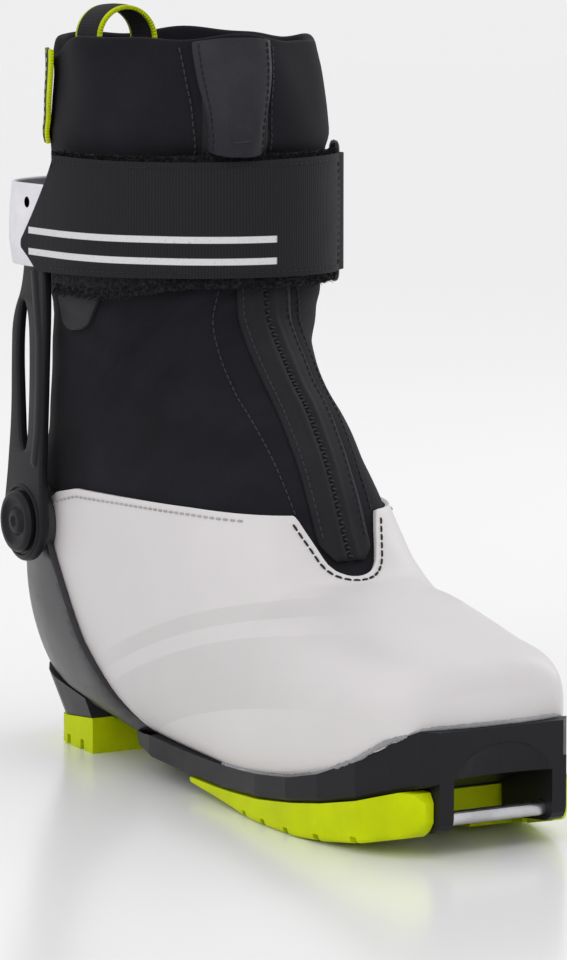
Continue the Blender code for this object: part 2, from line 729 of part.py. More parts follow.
def zip_frame(s, offset):
    """Place and axes on the zip: origin, across, up the zip, outward."""
    angle = front_angle(s, drift(s))
    origin = skin_point(s, angle, offset)
    out = form_normal(s, angle).normalized()
    above = skin_point(s + 0.3, front_angle(s + 0.3, drift(s + 0.3)), offset)
    across = (above - origin).normalized().cross(out).normalized()
    return origin, across, out.cross(across).normalized(), out


def block(name, frame, size, shift, look, rounding):
    """Rounded block in a local frame: size and shift across, up and out."""
    origin, across, up, out = frame
    mesh = bpy.data.meshes.new(name)
    shape = bmesh.new()
    bmesh.ops.create_cube(shape, size=1.0)
    bmesh.ops.scale(shape, vec=Vector(size) * MM, verts=shape.verts)
    bmesh.ops.translate(shape, vec=Vector(shift) * MM, verts=shape.verts)
    shape.to_mesh(mesh)
    shape.free()
    made = add_object(name, mesh, look)
    made.matrix_world = Matrix.Translation(origin * MM) @ Matrix((across, up, out)).transposed().to_4x4()
    return bevelled(made, rounding)


def zip_slider():
    return block("zip_slider", zip_frame(SLIDER_S, SLIDER_OFF), (7.0, 9.0, 2.2), (0.0, 0.0, 1.1), STEEL, 0.6)


def zip_pull():
    """Pull tab that hangs from the slider, its origin on its hinge line."""
    frame = zip_frame(SLIDER_S, SLIDER_OFF)
    return block("zip_pull", frame, (6.0, 13.0, 1.2), (0.0, -6.0, 3.3), PULL, 0.4)


def zip_garage():
    """Cover over the top end of the zip."""
    def half(s):
        return 15.0 - 4.0 * (24.9 - s)

    def edges(s):
        return spread(drift(s) - half(s), drift(s) + half(s), 8)

    def lift(s, x):
        share = min(abs(x - drift(s)) / half(s), 1.0)
        return 2.3 + 1.0 * (1.0 - share * share)

    mesh = strip_mesh("zip_garage", [24.0, 24.45, 24.9], edges, lift, 0.9)
    return add_object("zip_garage", mesh, ZIP)


def tongue():
    stops = [float(s) for s in range(THROAT_STATION, COLLAR_STATION)] + [24.8]

    def edges(s):
        return spread(drift(s) * 0.5 - 24.0, drift(s) * 0.5 + 24.0, 6)

    mesh = strip_mesh("tongue", stops, edges, lambda s, x: TONGUE_IN, TONGUE_OUT - TONGUE_IN)
    return add_object("tongue", mesh, LINER)


# ---- cuff ----------------------------------------------------------------------------
def cuff_arm(side, name):
    """Two-pronged arm from the ankle pivot up to the cuff band, in side view."""
    outline = (arc((PIVOT_Y, PIVOT_Z), 14.5, 175, 365, 14) + [(108.0, 102.0), (104.8, 122.0), (104.4, 142.0),
               (103.5, 158.0), (94.0, 171.0), (92.5, 204.0), (80.0, 204.0), (79.0, 177.0), (78.6, 162.0),
               (79.8, 145.0), (81.0, 126.0), (82.8, 102.0)])
    window = [(93.0, 110.0), (97.5, 110.0), (98.6, 128.0), (99.4, 146.0), (97.5, 160.0),
              (94.5, 165.0), (91.0, 158.0), (90.6, 145.0), (91.2, 128.0)]
    low, high = sorted((side * ARM_IN, side * ARM_OUT))
    made = add_object(name, prism_mesh(name, outline, low, high), ARM)
    ends = sorted((side * 40.0, side * 60.0))
    cut(made, side_cutter("cut_window_" + name, window), disc("cut_bore_" + name, *ends, 4.0 + GAP, None, 20))
    return made


def pivot_set(side, name):
    """Pin with washer inside and cap outside the cuff arm."""
    pin = sorted((side * 40.8, side * ARM_OUT))
    disc("pivot_pin_" + name, *pin, 4.0, STEEL, 20)
    cap = sorted((side * (ARM_OUT + GAP), side * CAP_OUT))
    disc("pivot_cap_" + name, *cap, 10.5, ARM, 24, 0.9)
    ring = sorted((side * (ARM_IN - GAP - 0.7), side * (ARM_IN - GAP)))
    washer = disc("pivot_washer_" + name, *ring, 10.5, STEEL, 24)
    bore = sorted((side * 30.0, side * 60.0))
    cut(washer, disc("cut_washer_" + name, *bore, 4.0 + GAP, None, 20))


# Band rows: height, depth of the round back behind the straight wings.
BAND_ROWS = ((176.0, 31.0), (185.0, 39.0), (196.0, 36.5), (206.0, 31.0))
BAND_TURN_Y = 92.0            # where the wings end and the round back begins
BAND_WING = 19                # degrees that each wing reaches round the front of the leg


def arc_ellipse(centre, a, b, start, end, steps):
    out = []
    for k in range(steps + 1):
        t = math.radians(start + (end - start) * k / steps)
        out.append((centre[0] + a * math.cos(t), centre[1] + b * math.sin(t)))
    return out


def band_path(z, depth, offset):
    """Curve of the band at one height, from the lateral wing tip round the back to the medial one."""
    half = CUFF_A + offset
    lateral = [strap_point(-180 + d, z, offset) for d in (BAND_WING, BAND_WING / 2, 0)]
    medial = [strap_point(-d, z, offset) for d in (0, BAND_WING / 2, BAND_WING)]
    back = [Vector((x, y, z)) for x, y in arc_ellipse((0.0, BAND_TURN_Y), half, depth + offset, 180, 0, 14)]
    return lateral + back + medial


def cuff_band():
    """Stiff band round the back of the leg, its wings running forward beside the leg."""
    points, faces = [], []
    for offset in (BAND_IN - CUFF_A, BAND_OUT - CUFF_A):
        for z, depth in BAND_ROWS:
            path = band_path(z, depth, offset)
            points += path
    rows, columns = len(BAND_ROWS), len(path)
    layer = rows * columns
    for r in range(rows - 1):
        for k in range(columns - 1):
            quad = (r * columns + k, r * columns + k + 1, (r + 1) * columns + k + 1, (r + 1) * columns + k)
            faces += [quad, tuple(v + layer for v in reversed(quad))]
        for k in (0, columns - 1):
            a, b = r * columns + k, (r + 1) * columns + k
            faces.append((a, b, b + layer, a + layer))
    for r in (0, rows - 1):
        for k in range(columns - 1):
            a, b = r * columns + k, r * columns + k + 1
            faces.append((a, b, b + layer, a + layer))
    made = add_object("cuff_band", mesh_from("cuff_band", points, faces), BAND)
    for spot, (side, y, z) in RIVETS.items():
        ends = sorted((side * 40.0, side * 60.0))
        cut(made, disc("cut_band_" + spot, *ends, 2.0 + GAP, None, 16, 0.0, y, z))
    return made


RIVETS = {
    "rivet_lateral_upper": (-1, 87.5, 199.0),
    "rivet_lateral_lower": (-1, 87.5, 184.0),
    "rivet_medial_upper": (1, 87.5, 199.0),
    "rivet_medial_lower": (1, 87.5, 184.0),
}


def cuff_rivets(arms):
    for spot, (side, y, z) in RIVETS.items():
        ends = sorted((side * ARM_IN, side * BAND_OUT))
        disc(spot, *ends, 2.0, STEEL, 14, 0.0, y, z)
        hole = sorted((side * 40.0, side * 60.0))
        cut(arms[side], disc("cut_arm_" + spot, *hole, 2.0 + GAP, None, 16, 0.0, y, z))


def cuff_wing(side, name):
    """Soft gusset tip between the leg and the arm, under the strap."""
    made = sock(name, 2.2, 0.5, ZIP)
    region = [(48.0, 180.0), (52.0, 166.0), (64.0, 157.0), (74.0, 160.0), (75.0, 180.0)]
    low, high = sorted((side * 20.0, side * 80.0))
    return keep(made, side_cutter("keep_" + name, region, low, high))


# ---- strap ---------------------------------------------------------------------------
def strap_point(degrees, z, offset):
    """Point round the front of the leg; 0 is medial, -90 the front, -180 lateral.

    Past either side the curve runs straight back, one millimetre to a degree.
    """
    past = max(degrees, -180.0 - degrees)
    if past > 0:
        return Vector((math.copysign(CUFF_A + offset, degrees + 90.0), CUFF_Y + past, z))
    a = math.radians(degrees)
    return Vector(((CUFF_A + offset) * math.cos(a), CUFF_Y + (CUFF_B + offset) * math.sin(a), z))


def strap_mesh(name, stops, heights, inner, thickness):
    """Closed curved band; heights(d) gives its lower and upper edge, inner(d) its offset."""
    points, faces = [], []
    for extra in (0.0, thickness):
        for d in stops:
            low, high = heights(d)
            for z in (low, (low + high) / 2, high):
                points.append(strap_point(d, z, inner(d) + extra))
    rows, columns = len(stops), 3
    layer = rows * columns
    for r in range(rows - 1):
        for k in range(columns - 1):
            quad = (r * columns + k, r * columns + k + 1, (r + 1) * columns + k + 1, (r + 1) * columns + k)
            faces += [quad, tuple(v + layer for v in reversed(quad))]
        for k in (0, columns - 1):
            a, b = r * columns + k, (r + 1) * columns + k
            faces.append((a, b, b + layer, a + layer))
    for r in (0, rows - 1):
        for k in range(columns - 1):
            a, b = r * columns + k, r * columns + k + 1
            faces.append((a, b, b + layer, a + layer))
    return mesh_from(name, points, faces)


BASE_IN = 2.5                 # inner faces of the two strap layers, from the leg
OUTER_IN = 4.6
STRAP_START = -41.0           # medial end of the strap, beside the ring
STRAP_TIP = -205.5            # lateral tip of the outer layer


def over_band(d):
    """Offset of the outer layer: on the base in front, rising over the band at the side."""
    rise = min(max((-134.0 - d) / 23.0, 0.0), 1.0)
    return OUTER_IN + (BAND_OUT - CUFF_A + GAP - OUTER_IN) * rise * rise * (3 - 2 * rise)


def outer_heights(d):
    """The lateral end is cut to a point near its lower edge."""
    below = max(0.0, (-194.0 - d) / 11.5)
    above = max(0.0, (-183.0 - d) / 22.5)
    return STRAP_Z0 + 7.5 * below, STRAP_Z1 - (STRAP_Z1 - STRAP_Z0 - 9.0) * above


def strap_outer():
    stops = spread(STRAP_START, -180.0, 22) + [-183.0, -188.0, -194.0, -200.0, STRAP_TIP]
    return add_object("strap_outer", strap_mesh("strap_outer", stops, outer_heights, over_band, 1.3), STRAP)


def strap_base():
    """Loop-pile layer, a little wider than the outer one, sewn to the lateral wing of the band."""
    stops = spread(STRAP_START, -190.0, 25)
    mesh = strap_mesh("strap_base", stops, lambda d: (STRAP_Z0 - 3.0, STRAP_Z1 + 0.5), lambda d: BASE_IN, 1.1)
    return add_object("strap_base", mesh, STRAP)


def hook_patch():
    """Hook tape sewn inside the outer layer, towards its tip."""
    stops = spread(-100.0, -150.0, 8)
    mesh = strap_mesh("hook_patch", stops, lambda d: (STRAP_Z0 + 4.0, STRAP_Z1 - 4.0), lambda d: BASE_IN + 1.35, 0.5)
    return add_object("hook_patch", mesh, LINER)


def ring_place():
    """Frame of the strap ring on the medial side: centre, forward along the leg, up, outward."""
    here, ahead = strap_point(-31.0, 196.0, 4.4), strap_point(-35.0, 196.0, 4.4)
    forward = (ahead - here).normalized()
    up = Vector((0.0, 0.0, 1.0))
    return here, forward, up, up.cross(forward) * -1


RING_HALF_W, RING_HALF_H, RING_WIRE = 6.0, 23.5, 1.5


def strap_ring():
    """Rectangular wire ring with round corners."""
    centre, forward, up, _ = ring_place()
    corner = 3.5
    flat = []
    for u, v, start in ((1, 1, 0), (-1, 1, 90), (-1, -1, 180), (1, -1, 270)):
        flat += arc((u * (RING_HALF_W - corner), v * (RING_HALF_H - corner)), corner, start, start + 90, 3)
    data = bpy.data.curves.new("strap_ring", "CURVE")
    data.dimensions = "3D"
    data.bevel_depth = RING_WIRE * MM
    data.bevel_resolution = 2
    spline = data.splines.new("POLY")
    spline.points.add(len(flat) - 1)
    spline.use_cyclic_u = True
    for point, (u, v) in zip(spline.points, flat):
        point.co = (*((centre + forward * u + up * v) * MM), 1.0)
    made = bpy.data.objects.new("strap_ring", data)
    BOOT.objects.link(made)
    data.materials.append(material("strap_ring_" + ARM[0], *ARM[1:]))
    return made


def ring_tab():
    """Webbing tab that holds the ring's rear bar to the medial wing of the band."""
    stops = spread(-21.5, 8.0, 6)
    mesh = strap_mesh("ring_tab", stops, lambda d: (STRAP_Z0 + 1.0, STRAP_Z1 - 3.0), lambda d: BASE_IN, 1.5)
    return add_object("ring_tab", mesh, STRAP)


# ---- heel loop -----------------------------------------------------------------------
LOOP_X, LOOP_HALF, LOOP_TOP = -14.7, 12.0, 268.5
LOOP_Y0, LOOP_Y1 = 78.0, 96.0
LOOP_T = 1.6


def pull_loop():
    """Webbing arch inside the back of the collar."""
    def half_arch(r, foot):
        return [(LOOP_X + r, foot)] + arc((LOOP_X, LOOP_TOP - LOOP_HALF), r, 0, 180, 12) + [(LOOP_X - r, foot)]

    foot = 236.0
    outline = half_arch(LOOP_HALF, foot) + list(reversed(half_arch(LOOP_HALF - LOOP_T, foot)))
    n = len(outline)
    points = [(x, y, z) for y in (LOOP_Y0, LOOP_Y1) for x, z in outline]
    faces = [tuple(range(n)), tuple(range(n, 2 * n))]
    faces += [(k, (k + 1) % n, n + (k + 1) % n, n + k) for k in range(n)]
    return add_object("pull_loop", mesh_from("pull_loop", points, faces), LIME)


def back_webbing():
    """Webbing strip down the lateral back of the collar, as far as the cuff band."""
    made = sock("back_webbing", 2.0, 0.5, LIME)
    box = box_cutter("keep_back_webbing", (-60.0, 83.0, 218.0), (0.0, 99.5, 252.0))
    return keep(made, box)


# ---- assembly ------------------------------------------------------------------------
clear_scene()
BOOT = new_collection("cross_country_boot")
CUTTERS = new_collection("cross_country_boot_cutters")
FORM_OVER_VAMP = cutter("form_over_vamp", solid_mesh("form_over_vamp", VAMP_OUT + GAP))
FORM_OVER_BASE = cutter("form_over_base", solid_mesh("form_over_base", COUNTER_OUT + GAP))
FORM_IN_WALL = cutter("form_in_wall", solid_mesh("form_in_wall", (COUNTER_IN + COUNTER_OUT) / 2))
FORM_OVER_WINGS = cutter("form_over_wings", solid_mesh("form_over_wings", COUNTER_OUT + GAP))
keep(FORM_OVER_WINGS, box_cutter("keep_wing_room", (-80.0, WING[-1][0] - 2.5, -10.0), (80.0, 100.0, 80.0)))
FORM_SEAM_TOP = side_cutter("cut_over_seam", [(40.0, SEAM[0][1] - 3.6), SEAM[1], (200.0, SEAM_END),
                                              (200.0, 150.0), (40.0, 150.0)])
ABOVE_LOWER = side_cutter("cut_above_lower", above_lower_outline())
ANKLE_ZONE = side_cutter("keep_ankle", ankle_outline())
BELOW_COLLAR = side_cutter("cut_below_collar", below_collar_outline())

sole_chassis()
toe_bar()
forefoot_outsole()
heel_outsole()
heel_cup_base()
heel_counter()
vamp_cover()
lasting_board()
softshell()
bootie_layer("liner", LINER_OUT, LINER_IN, LINER)
toe_puff()
heel_stiffener()
insole()
tongue()
zip_tape(-1, "zip_tape_lateral")
zip_tape(1, "zip_tape_medial")
zip_coil()
zip_slider()
zip_pull()
zip_garage()
pull_loop()
back_webbing()
ARMS = {-1: cuff_arm(-1, "cuff_arm_lateral"), 1: cuff_arm(1, "cuff_arm_medial")}
pivot_set(-1, "lateral")
pivot_set(1, "medial")
cuff_band()
cuff_rivets(ARMS)
cuff_wing(-1, "cuff_wing_lateral")
cuff_wing(1, "cuff_wing_medial")
strap_base()
strap_outer()
hook_patch()
strap_ring()
ring_tab()
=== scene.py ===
"""Looks of a cross country skate boot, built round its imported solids.

Lengths are in millimetres, scaled once where a mesh is made. Toe -Y, lateral -X, up +Z.
"""
import math

import bmesh
import bpy
import numpy as np
from mathutils import Matrix, Vector, noise
from mathutils.bvhtree import BVHTree


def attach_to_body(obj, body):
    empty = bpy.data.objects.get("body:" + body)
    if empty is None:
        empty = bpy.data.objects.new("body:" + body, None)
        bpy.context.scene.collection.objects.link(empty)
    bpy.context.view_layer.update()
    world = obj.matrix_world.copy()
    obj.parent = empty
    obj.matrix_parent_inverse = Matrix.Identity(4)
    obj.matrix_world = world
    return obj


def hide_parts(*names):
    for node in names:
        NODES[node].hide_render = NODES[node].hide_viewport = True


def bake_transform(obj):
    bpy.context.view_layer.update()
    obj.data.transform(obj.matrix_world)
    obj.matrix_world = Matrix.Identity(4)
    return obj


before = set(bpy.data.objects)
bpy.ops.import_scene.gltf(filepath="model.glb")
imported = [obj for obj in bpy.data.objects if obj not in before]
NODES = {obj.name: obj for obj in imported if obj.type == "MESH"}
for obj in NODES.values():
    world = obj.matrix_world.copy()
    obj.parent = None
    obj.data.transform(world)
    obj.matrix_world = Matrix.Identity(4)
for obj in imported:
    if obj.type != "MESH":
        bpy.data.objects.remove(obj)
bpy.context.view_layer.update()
MM = 0.001

# ---- the form of the upper -----------------------------------------------------------
# Per station: front point (y, z), back point (y, z), half width, share of the depth behind the widest
# line, corner exponents at back and front.
STATIONS = np.array((
    (-136.0, 52.0, -136.0, 40.0, 22.0, 0.50, 3.0, 2.8),
    (-134.5, 57.0, -134.5, 35.5, 28.5, 0.45, 3.0, 2.8),
    (-130.0, 61.0, -130.5, 31.0, 34.0, 0.42, 3.2, 3.1),
    (-120.0, 63.5, -120.5, 25.5, 39.5, 0.40, 3.4, 3.3),
    (-104.0, 65.5, -104.5, 20.0, 43.5, 0.38, 3.6, 3.3),
    (-84.0, 69.0, -84.0, 16.2, 46.0, 0.37, 4.0, 3.4),
    (-64.0, 73.5, -61.0, 13.6, 46.5, 0.37, 4.0, 3.2),
    (-51.0, 78.0, -36.0, 12.4, 45.0, 0.38, 4.0, 2.6),
    (-43.0, 91.0, -8.0, 12.0, 43.0, 0.40, 3.8, 2.2),
    (-37.0, 104.0, 22.0, 12.2, 41.5, 0.42, 3.5, 2.2),
    (-29.0, 118.0, 52.0, 13.2, 40.5, 0.45, 3.2, 2.2),
    (-19.0, 131.0, 80.0, 14.8, 40.2, 0.47, 3.0, 2.2),
    (-9.0, 142.0, 104.0, 17.5, 40.0, 0.48, 2.8, 2.2),
    (0.0, 151.0, 123.0, 25.0, 40.0, 0.50, 2.5, 2.2),
    (5.0, 157.5, 133.5, 39.0, 40.0, 0.50, 2.4, 2.2),
    (8.0, 162.0, 136.9, 57.0, 40.0, 0.50, 2.3, 2.2),
    (9.5, 166.0, 134.5, 77.0, 40.6, 0.50, 2.3, 2.2),
    (10.0, 170.0, 128.0, 98.0, 41.2, 0.50, 2.2, 2.2),
    (10.0, 174.0, 122.5, 121.0, 42.0, 0.50, 2.2, 2.2),
    (9.5, 179.0, 120.0, 147.0, 43.0, 0.50, 2.1, 2.1),
    (8.5, 188.0, 119.5, 173.0, 44.3, 0.50, 2.1, 2.1),
    (7.5, 201.0, 120.0, 195.0, 45.0, 0.50, 2.0, 2.0),
    (6.5, 217.0, 120.0, 216.5, 45.0, 0.50, 2.0, 2.0),
    (3.0, 228.0, 120.5, 228.0, 45.0, 0.50, 2.0, 2.0),
    (5.5, 242.0, 120.0, 242.0, 43.8, 0.50, 2.0, 2.0),
    (12.0, 256.0, 118.0, 256.0, 43.5, 0.50, 2.0, 2.0),
))
LAST = len(STATIONS) - 1
# The forefoot is a little narrower on its medial side: share of the half width, by station.
MEDIAL_BY_STATION = np.array(((0.0, 0.82), (2.0, 0.84), (4.0, 0.87), (5.0, 0.90), (6.0, 0.95), (7.0, 1.0)))
ROWS_PER_STATION = 5
QUARTER = 36
COLUMNS = 4 * QUARTER
CAP_SHARES = (0.03, 0.2, 0.4, 0.6, 0.8, 0.92)
CAP_DOME = 1.3
ZIP_DRIFT = {20: -2.5, 21: -7.0, 22: -12.0, 23: -13.0, 24: -12.0, 25: -10.0}
WING = ((93.0, 86.0), (84.5, 71.0), (66.5, 44.0), (48.5, 26.0), (33.0, 15.5))
SEAM = ((60.0, 17.0), (134.0, 30.5))
SOLE_RIM = ((-141.5, 41.5), (-138.0, 42.0), (-130.0, 38.0), (-118.0, 30.5), (-100.0, 23.5), (-82.0, 19.5),
            (-60.0, 17.0), (-31.0, 15.0), (0.0, 14.5), (30.0, 15.0), (44.0, 16.0), (54.0, 16.5))
PIVOT_Y, PIVOT_Z = 97.0, 84.0
CUFF_Y, CUFF_A, CUFF_B = 63.5, 45.0, 57.0
STRAP_Z0, STRAP_Z1 = 175.5, 216.5
SLEEVE_FROM = 98.0
SIDES = ((-1, "lateral"), (1, "medial"))


def rim_height(y):
    return np.interp(y, [v[0] for v in SOLE_RIM], [v[1] for v in SOLE_RIM])


def smooth(value, low, high):
    t = np.clip((np.asarray(value, float) - low) / (high - low), 0, 1)
    return t * t * (3 - 2 * t)


def station(s):
    s = np.atleast_1d(np.asarray(s, float))
    i = np.clip(np.floor(s).astype(int), 0, LAST - 1)
    t = (s - i)[:, None]
    a, b, c, d = (STATIONS[np.clip(i + k, 0, LAST)] for k in (-1, 0, 1, 2))
    square, cube = 2 * a - 5 * b + 4 * c - d, 3 * b - a - 3 * c + d
    return 0.5 * (2 * b + (c - a) * t + square * t * t + cube * t ** 3)


def ring(values, s):
    """One ring of the form, spaced evenly along each quarter: front, lateral, back, medial."""
    fy, fz, by, bz, half, share, n_back, n_front = values
    turn = np.linspace(0, math.pi / 2, 181)
    out = []
    for q in range(4):
        angle = math.pi / 2 * (q + 1) + turn
        c, h = np.cos(angle), np.sin(angle)
        n = n_front if q in (0, 3) else n_back
        reach = (1 - share) if q in (0, 3) else share
        up = share + reach * np.sign(h) * np.abs(h) ** (2 / n)
        x = half * np.sign(c) * np.abs(c) ** (2 / n)
        x = np.where(x > 0, x * np.interp(s, MEDIAL_BY_STATION[:, 0], MEDIAL_BY_STATION[:, 1]), x)
        line = np.stack([x, by + (fy - by) * up, bz + (fz - bz) * up], 1)
        length = np.concatenate([[0], np.cumsum(np.linalg.norm(np.diff(line, axis=0), axis=1))])
        spots = np.linspace(0, length[-1], QUARTER + 1)[:-1]
        out.append(np.stack([np.interp(spots, length, line[:, k]) for k in range(3)], 1))
    return np.concatenate(out)


def grid_normals(points):
    """Unit normals of a closed grid, rows by columns, all turned the same way along a row."""
    normals = np.cross(np.gradient(points, axis=0), np.roll(points, -1, 1) - np.roll(points, 1, 1))
    return normals / (np.linalg.norm(normals, axis=2)[:, :, None] + 1e-12)


def form_grid():
    """Points and outward normals of the form, rows from the toe cap to the collar."""
    stops = np.linspace(0, LAST, LAST * ROWS_PER_STATION + 1)
    rows = [ring(v, s) for v, s in zip(station(stops), stops)]
    first, middle = rows[0], rows[0].mean(0)
    cap = []
    for share in CAP_SHARES:
        line = middle + (first - middle) * share
        line[:, 1] -= CAP_DOME * (1 - share * share)
        cap.append(line)
    points = np.array(cap + rows)
    normals = grid_normals(points)
    middle = points.mean(1)[:, None, :]
    flip = np.sign(((points - middle) * normals).sum((1, 2)))
    flip[:len(CAP_SHARES)] = flip[len(CAP_SHARES) + 3]
    normals *= flip[:, None, None]
    if normals[0, :, 1].mean() > 0:
        normals[:len(CAP_SHARES)] *= -1
    s = np.concatenate([np.zeros(len(CAP_SHARES)), stops])
    return points, normals, s


GRID, NORMAL, ROW_S = form_grid()
CAPS = len(CAP_SHARES)


def row_at(s):
    """Ring of points and normals at station s, between the grid's rows."""
    place = CAPS + s * ROWS_PER_STATION
    low = int(min(math.floor(place), len(GRID) - 2))
    t = place - low
    return GRID[low] * (1 - t) + GRID[low + 1] * t, NORMAL[low] * (1 - t) + NORMAL[low + 1] * t


def on_front(s, x, back=False):
    """Point and normal on the front (or back) half of the form at station s and x."""
    points, normals = row_at(s)
    order = (np.arange(QUARTER, 3 * QUARTER + 1) if back else np.arange(-QUARTER, QUARTER + 1)) % COLUMNS
    p, n = points[order], normals[order]
    if p[0, 0] > p[-1, 0]:
        p, n = p[::-1], n[::-1]
    at = np.array([np.interp(x, p[:, 0], p[:, k]) for k in range(3)])
    normal = np.array([np.interp(x, p[:, 0], n[:, k]) for k in range(3)])
    return at, normal / np.linalg.norm(normal)


def drift(s):
    """How far the zip's middle line stands off x = 0 at station s."""
    low = math.floor(s)
    t = s - low
    return ZIP_DRIFT.get(low, 0.0) * (1 - t) + ZIP_DRIFT.get(low + 1, 0.0) * t


# ---- meshes --------------------------------------------------------------------------
def piece(name, points, faces, look, uv=None, smooth_angle=50.0):
    """New object from points in millimetres; uv gives one (u, v) pair per face corner, in millimetres."""
    mesh = bpy.data.meshes.new(name)
    spots = [tuple(p) for p in np.asarray(points, float) * MM]
    mesh.from_pydata(spots, [], [tuple(int(i) for i in f) for f in faces])
    if uv is not None:
        layer = mesh.uv_layers.new(name="UVMap")
        layer.data.foreach_set("uv", np.asarray(uv, np.float32).ravel())
    mesh.update()
    made = add(name, mesh)
    mesh.materials.append(look)
    mesh.shade_smooth()
    mesh.set_sharp_from_angle(angle=math.radians(smooth_angle))
    return made


def add(name, mesh):
    made = bpy.data.objects.new(name, mesh)
    bpy.context.scene.collection.objects.link(made)
    return made


def outward(made):
    """Turn every face outward and merge doubled points."""
    shape = bmesh.new()
    shape.from_mesh(made.data)
    bmesh.ops.remove_doubles(shape, verts=shape.verts, dist=1e-6)
    bmesh.ops.recalc_face_normals(shape, faces=shape.faces)
    shape.to_mesh(made.data)
    shape.free()
    return made


def settle(made):
    """Apply the modifiers, so that the mesh is final."""
    graph = bpy.context.evaluated_depsgraph_get()
    whole = made.evaluated_get(graph)
    mesh = bpy.data.meshes.new_from_object(whole, preserve_all_data_layers=True, depsgraph=graph)
    made.modifiers.clear()
    made.data = mesh
    return made


def thicken(made, thickness, round_edge=0.0, offset=-1.0):
    step = made.modifiers.new("thickness", "SOLIDIFY")
    step.thickness = thickness * MM
    step.offset = offset
    step.use_even_offset = False
    if round_edge:
        soften(made, round_edge)
    return made


def soften(made, width, weld=False):
    if weld:
        join = made.modifiers.new("weld", "WELD")
        join.merge_threshold = 2e-5
    step = made.modifiers.new("edges", "BEVEL")
    step.width = width * MM
    step.segments = 2
    step.limit_method = "ANGLE"
    step.angle_limit = math.radians(35.0)
    step.harden_normals = False
    step.use_clamp_overlap = True
    return made


def attach(made, body, slot, *nodes):
    """Put a finished piece on its body, or across the ankle, and hide the CAD nodes it stands for."""
    if body == "ankle":
        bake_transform(made)
    else:
        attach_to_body(made, body)
    if nodes:
        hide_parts(*nodes)


def grid_faces(rows, columns, closed=True):
    faces = []
    span = columns if closed else columns - 1
    for r in range(rows - 1):
        for k in range(span):
            a, b = r * columns + k, r * columns + (k + 1) % columns
            faces.append((a, b, b + columns, a + columns))
    return faces


def grid_piece(name, points, look, closed=True, cap=False, uv=None):
    """Object from rows by columns of points. uv has rows by columns + 1 pairs."""
    points = np.asarray(points)
    rows, columns = points.shape[:2]
    flat = points.reshape(-1, 3)
    faces = grid_faces(rows, columns, closed)
    corners = None
    if uv is not None:
        corners = []
        span = columns if closed else columns - 1
        for r in range(rows - 1):
            for k in range(span):
                corners += [uv[r][k], uv[r][k + 1], uv[r + 1][k + 1], uv[r + 1][k]]
    if cap:
        flat = np.concatenate([flat, [points[0].mean(0)]])
        tip = len(flat) - 1
        for k in range(columns):
            faces.append((tip, (k + 1) % columns, k))
            if corners is not None:
                corners += [uv[0][k], uv[0][k + 1], uv[0][k]]
    return piece(name, flat, faces, look, corners)


def clip(points, triangles, field):
    """The part of a triangle mesh where field is below zero, cut exactly along zero."""
    new_points = [tuple(p) for p in points]
    cuts = {}

    def crossing(i, j):
        key = (min(i, j), max(i, j))
        if key not in cuts:
            i, j = key
            t = field[i] / (field[i] - field[j])
            cuts[key] = len(new_points)
            new_points.append(tuple(points[i] * (1 - t) + points[j] * t))
        return cuts[key]

    faces = []
    for tri in triangles:
        inside = [i for i in range(3) if field[tri[i]] < 0]
        if len(inside) == 3:
            faces.append(tuple(tri))
        elif len(inside) == 1:
            a = inside[0]
            p, q, r = tri[a], tri[(a + 1) % 3], tri[(a + 2) % 3]
            faces.append((p, crossing(p, q), crossing(p, r)))
        elif len(inside) == 2:
            a = [i for i in range(3) if i not in inside][0]
            p, q, r = tri[a], tri[(a + 1) % 3], tri[(a + 2) % 3]
            faces.append((q, r, crossing(p, r)))
            faces.append((q, crossing(p, r), crossing(p, q)))
    used = sorted({i for f in faces for i in f})
    order = {old: new for new, old in enumerate(used)}
    kept = np.array([new_points[i] for i in used])
    return kept, [tuple(order[i] for i in f) for f in faces]


def distance_to_outline(points, outline):
    """Signed distance of (u, v) points to a closed outline, below zero inside."""
    outline = np.asarray(outline, float)
    best = np.full(len(points), 1e9)
    inside = np.zeros(len(points), bool)
    for a, b in zip(outline, np.roll(outline, -1, 0)):
        line = b - a
        t = np.clip(((points - a) @ line) / max(line @ line, 1e-12), 0, 1)
        best = np.minimum(best, np.linalg.norm(points - a - t[:, None] * line, axis=1))
        span = (a[1] > points[:, 1]) != (b[1] > points[:, 1])
        rise = b[1] - a[1] if abs(b[1] - a[1]) > 1e-12 else 1e-12
        inside ^= span & (points[:, 0] < a[0] + line[0] * (points[:, 1] - a[1]) / rise)
    return np.where(inside, -best, best)


def skin_triangles(rows, columns=COLUMNS):
    out = []
    for a, b, c, d in grid_faces(rows, columns):
        out += [(a, b, c), (a, c, d)]
    return np.array(out)


def throat_axes():
    """Foot of the throat's U, its direction up the instep, and the direction out of it."""
    lean = math.radians(57)
    up = np.array((0.0, math.cos(lean), math.sin(lean)))
    out = np.array((0.0, -math.sin(lean), math.cos(lean)))
    return np.array((0.0, -49.5, 79.5)), up, out


def arc(centre, radius, start, end, steps, tall=None):
    tall = radius if tall is None else tall
    turn = np.radians(np.linspace(start, end, steps + 1))
    return [(centre[0] + radius * math.cos(t), centre[1] + tall * math.sin(t)) for t in turn]


def throat_outline(grow=0.0):
    sides = [(-19.5 - grow, 40.0), (-16.0 - grow, 22.0)]
    other = [(16.0 + grow, 22.0), (19.5 + grow, 40.0)]
    return sides + arc((0.0, 9.0), 11.0 + grow, 200, 340, 16) + other


def throat_distance(points, grow=0.0):
    """Below zero inside the U of the throat, on the front of the upper."""
    base, up, out = throat_axes()
    rel = points - base
    flat = np.stack([rel[:, 0], rel @ up], 1)
    field = distance_to_outline(flat, throat_outline(grow))
    return np.where(rel @ out < -14.0, 30.0, field)


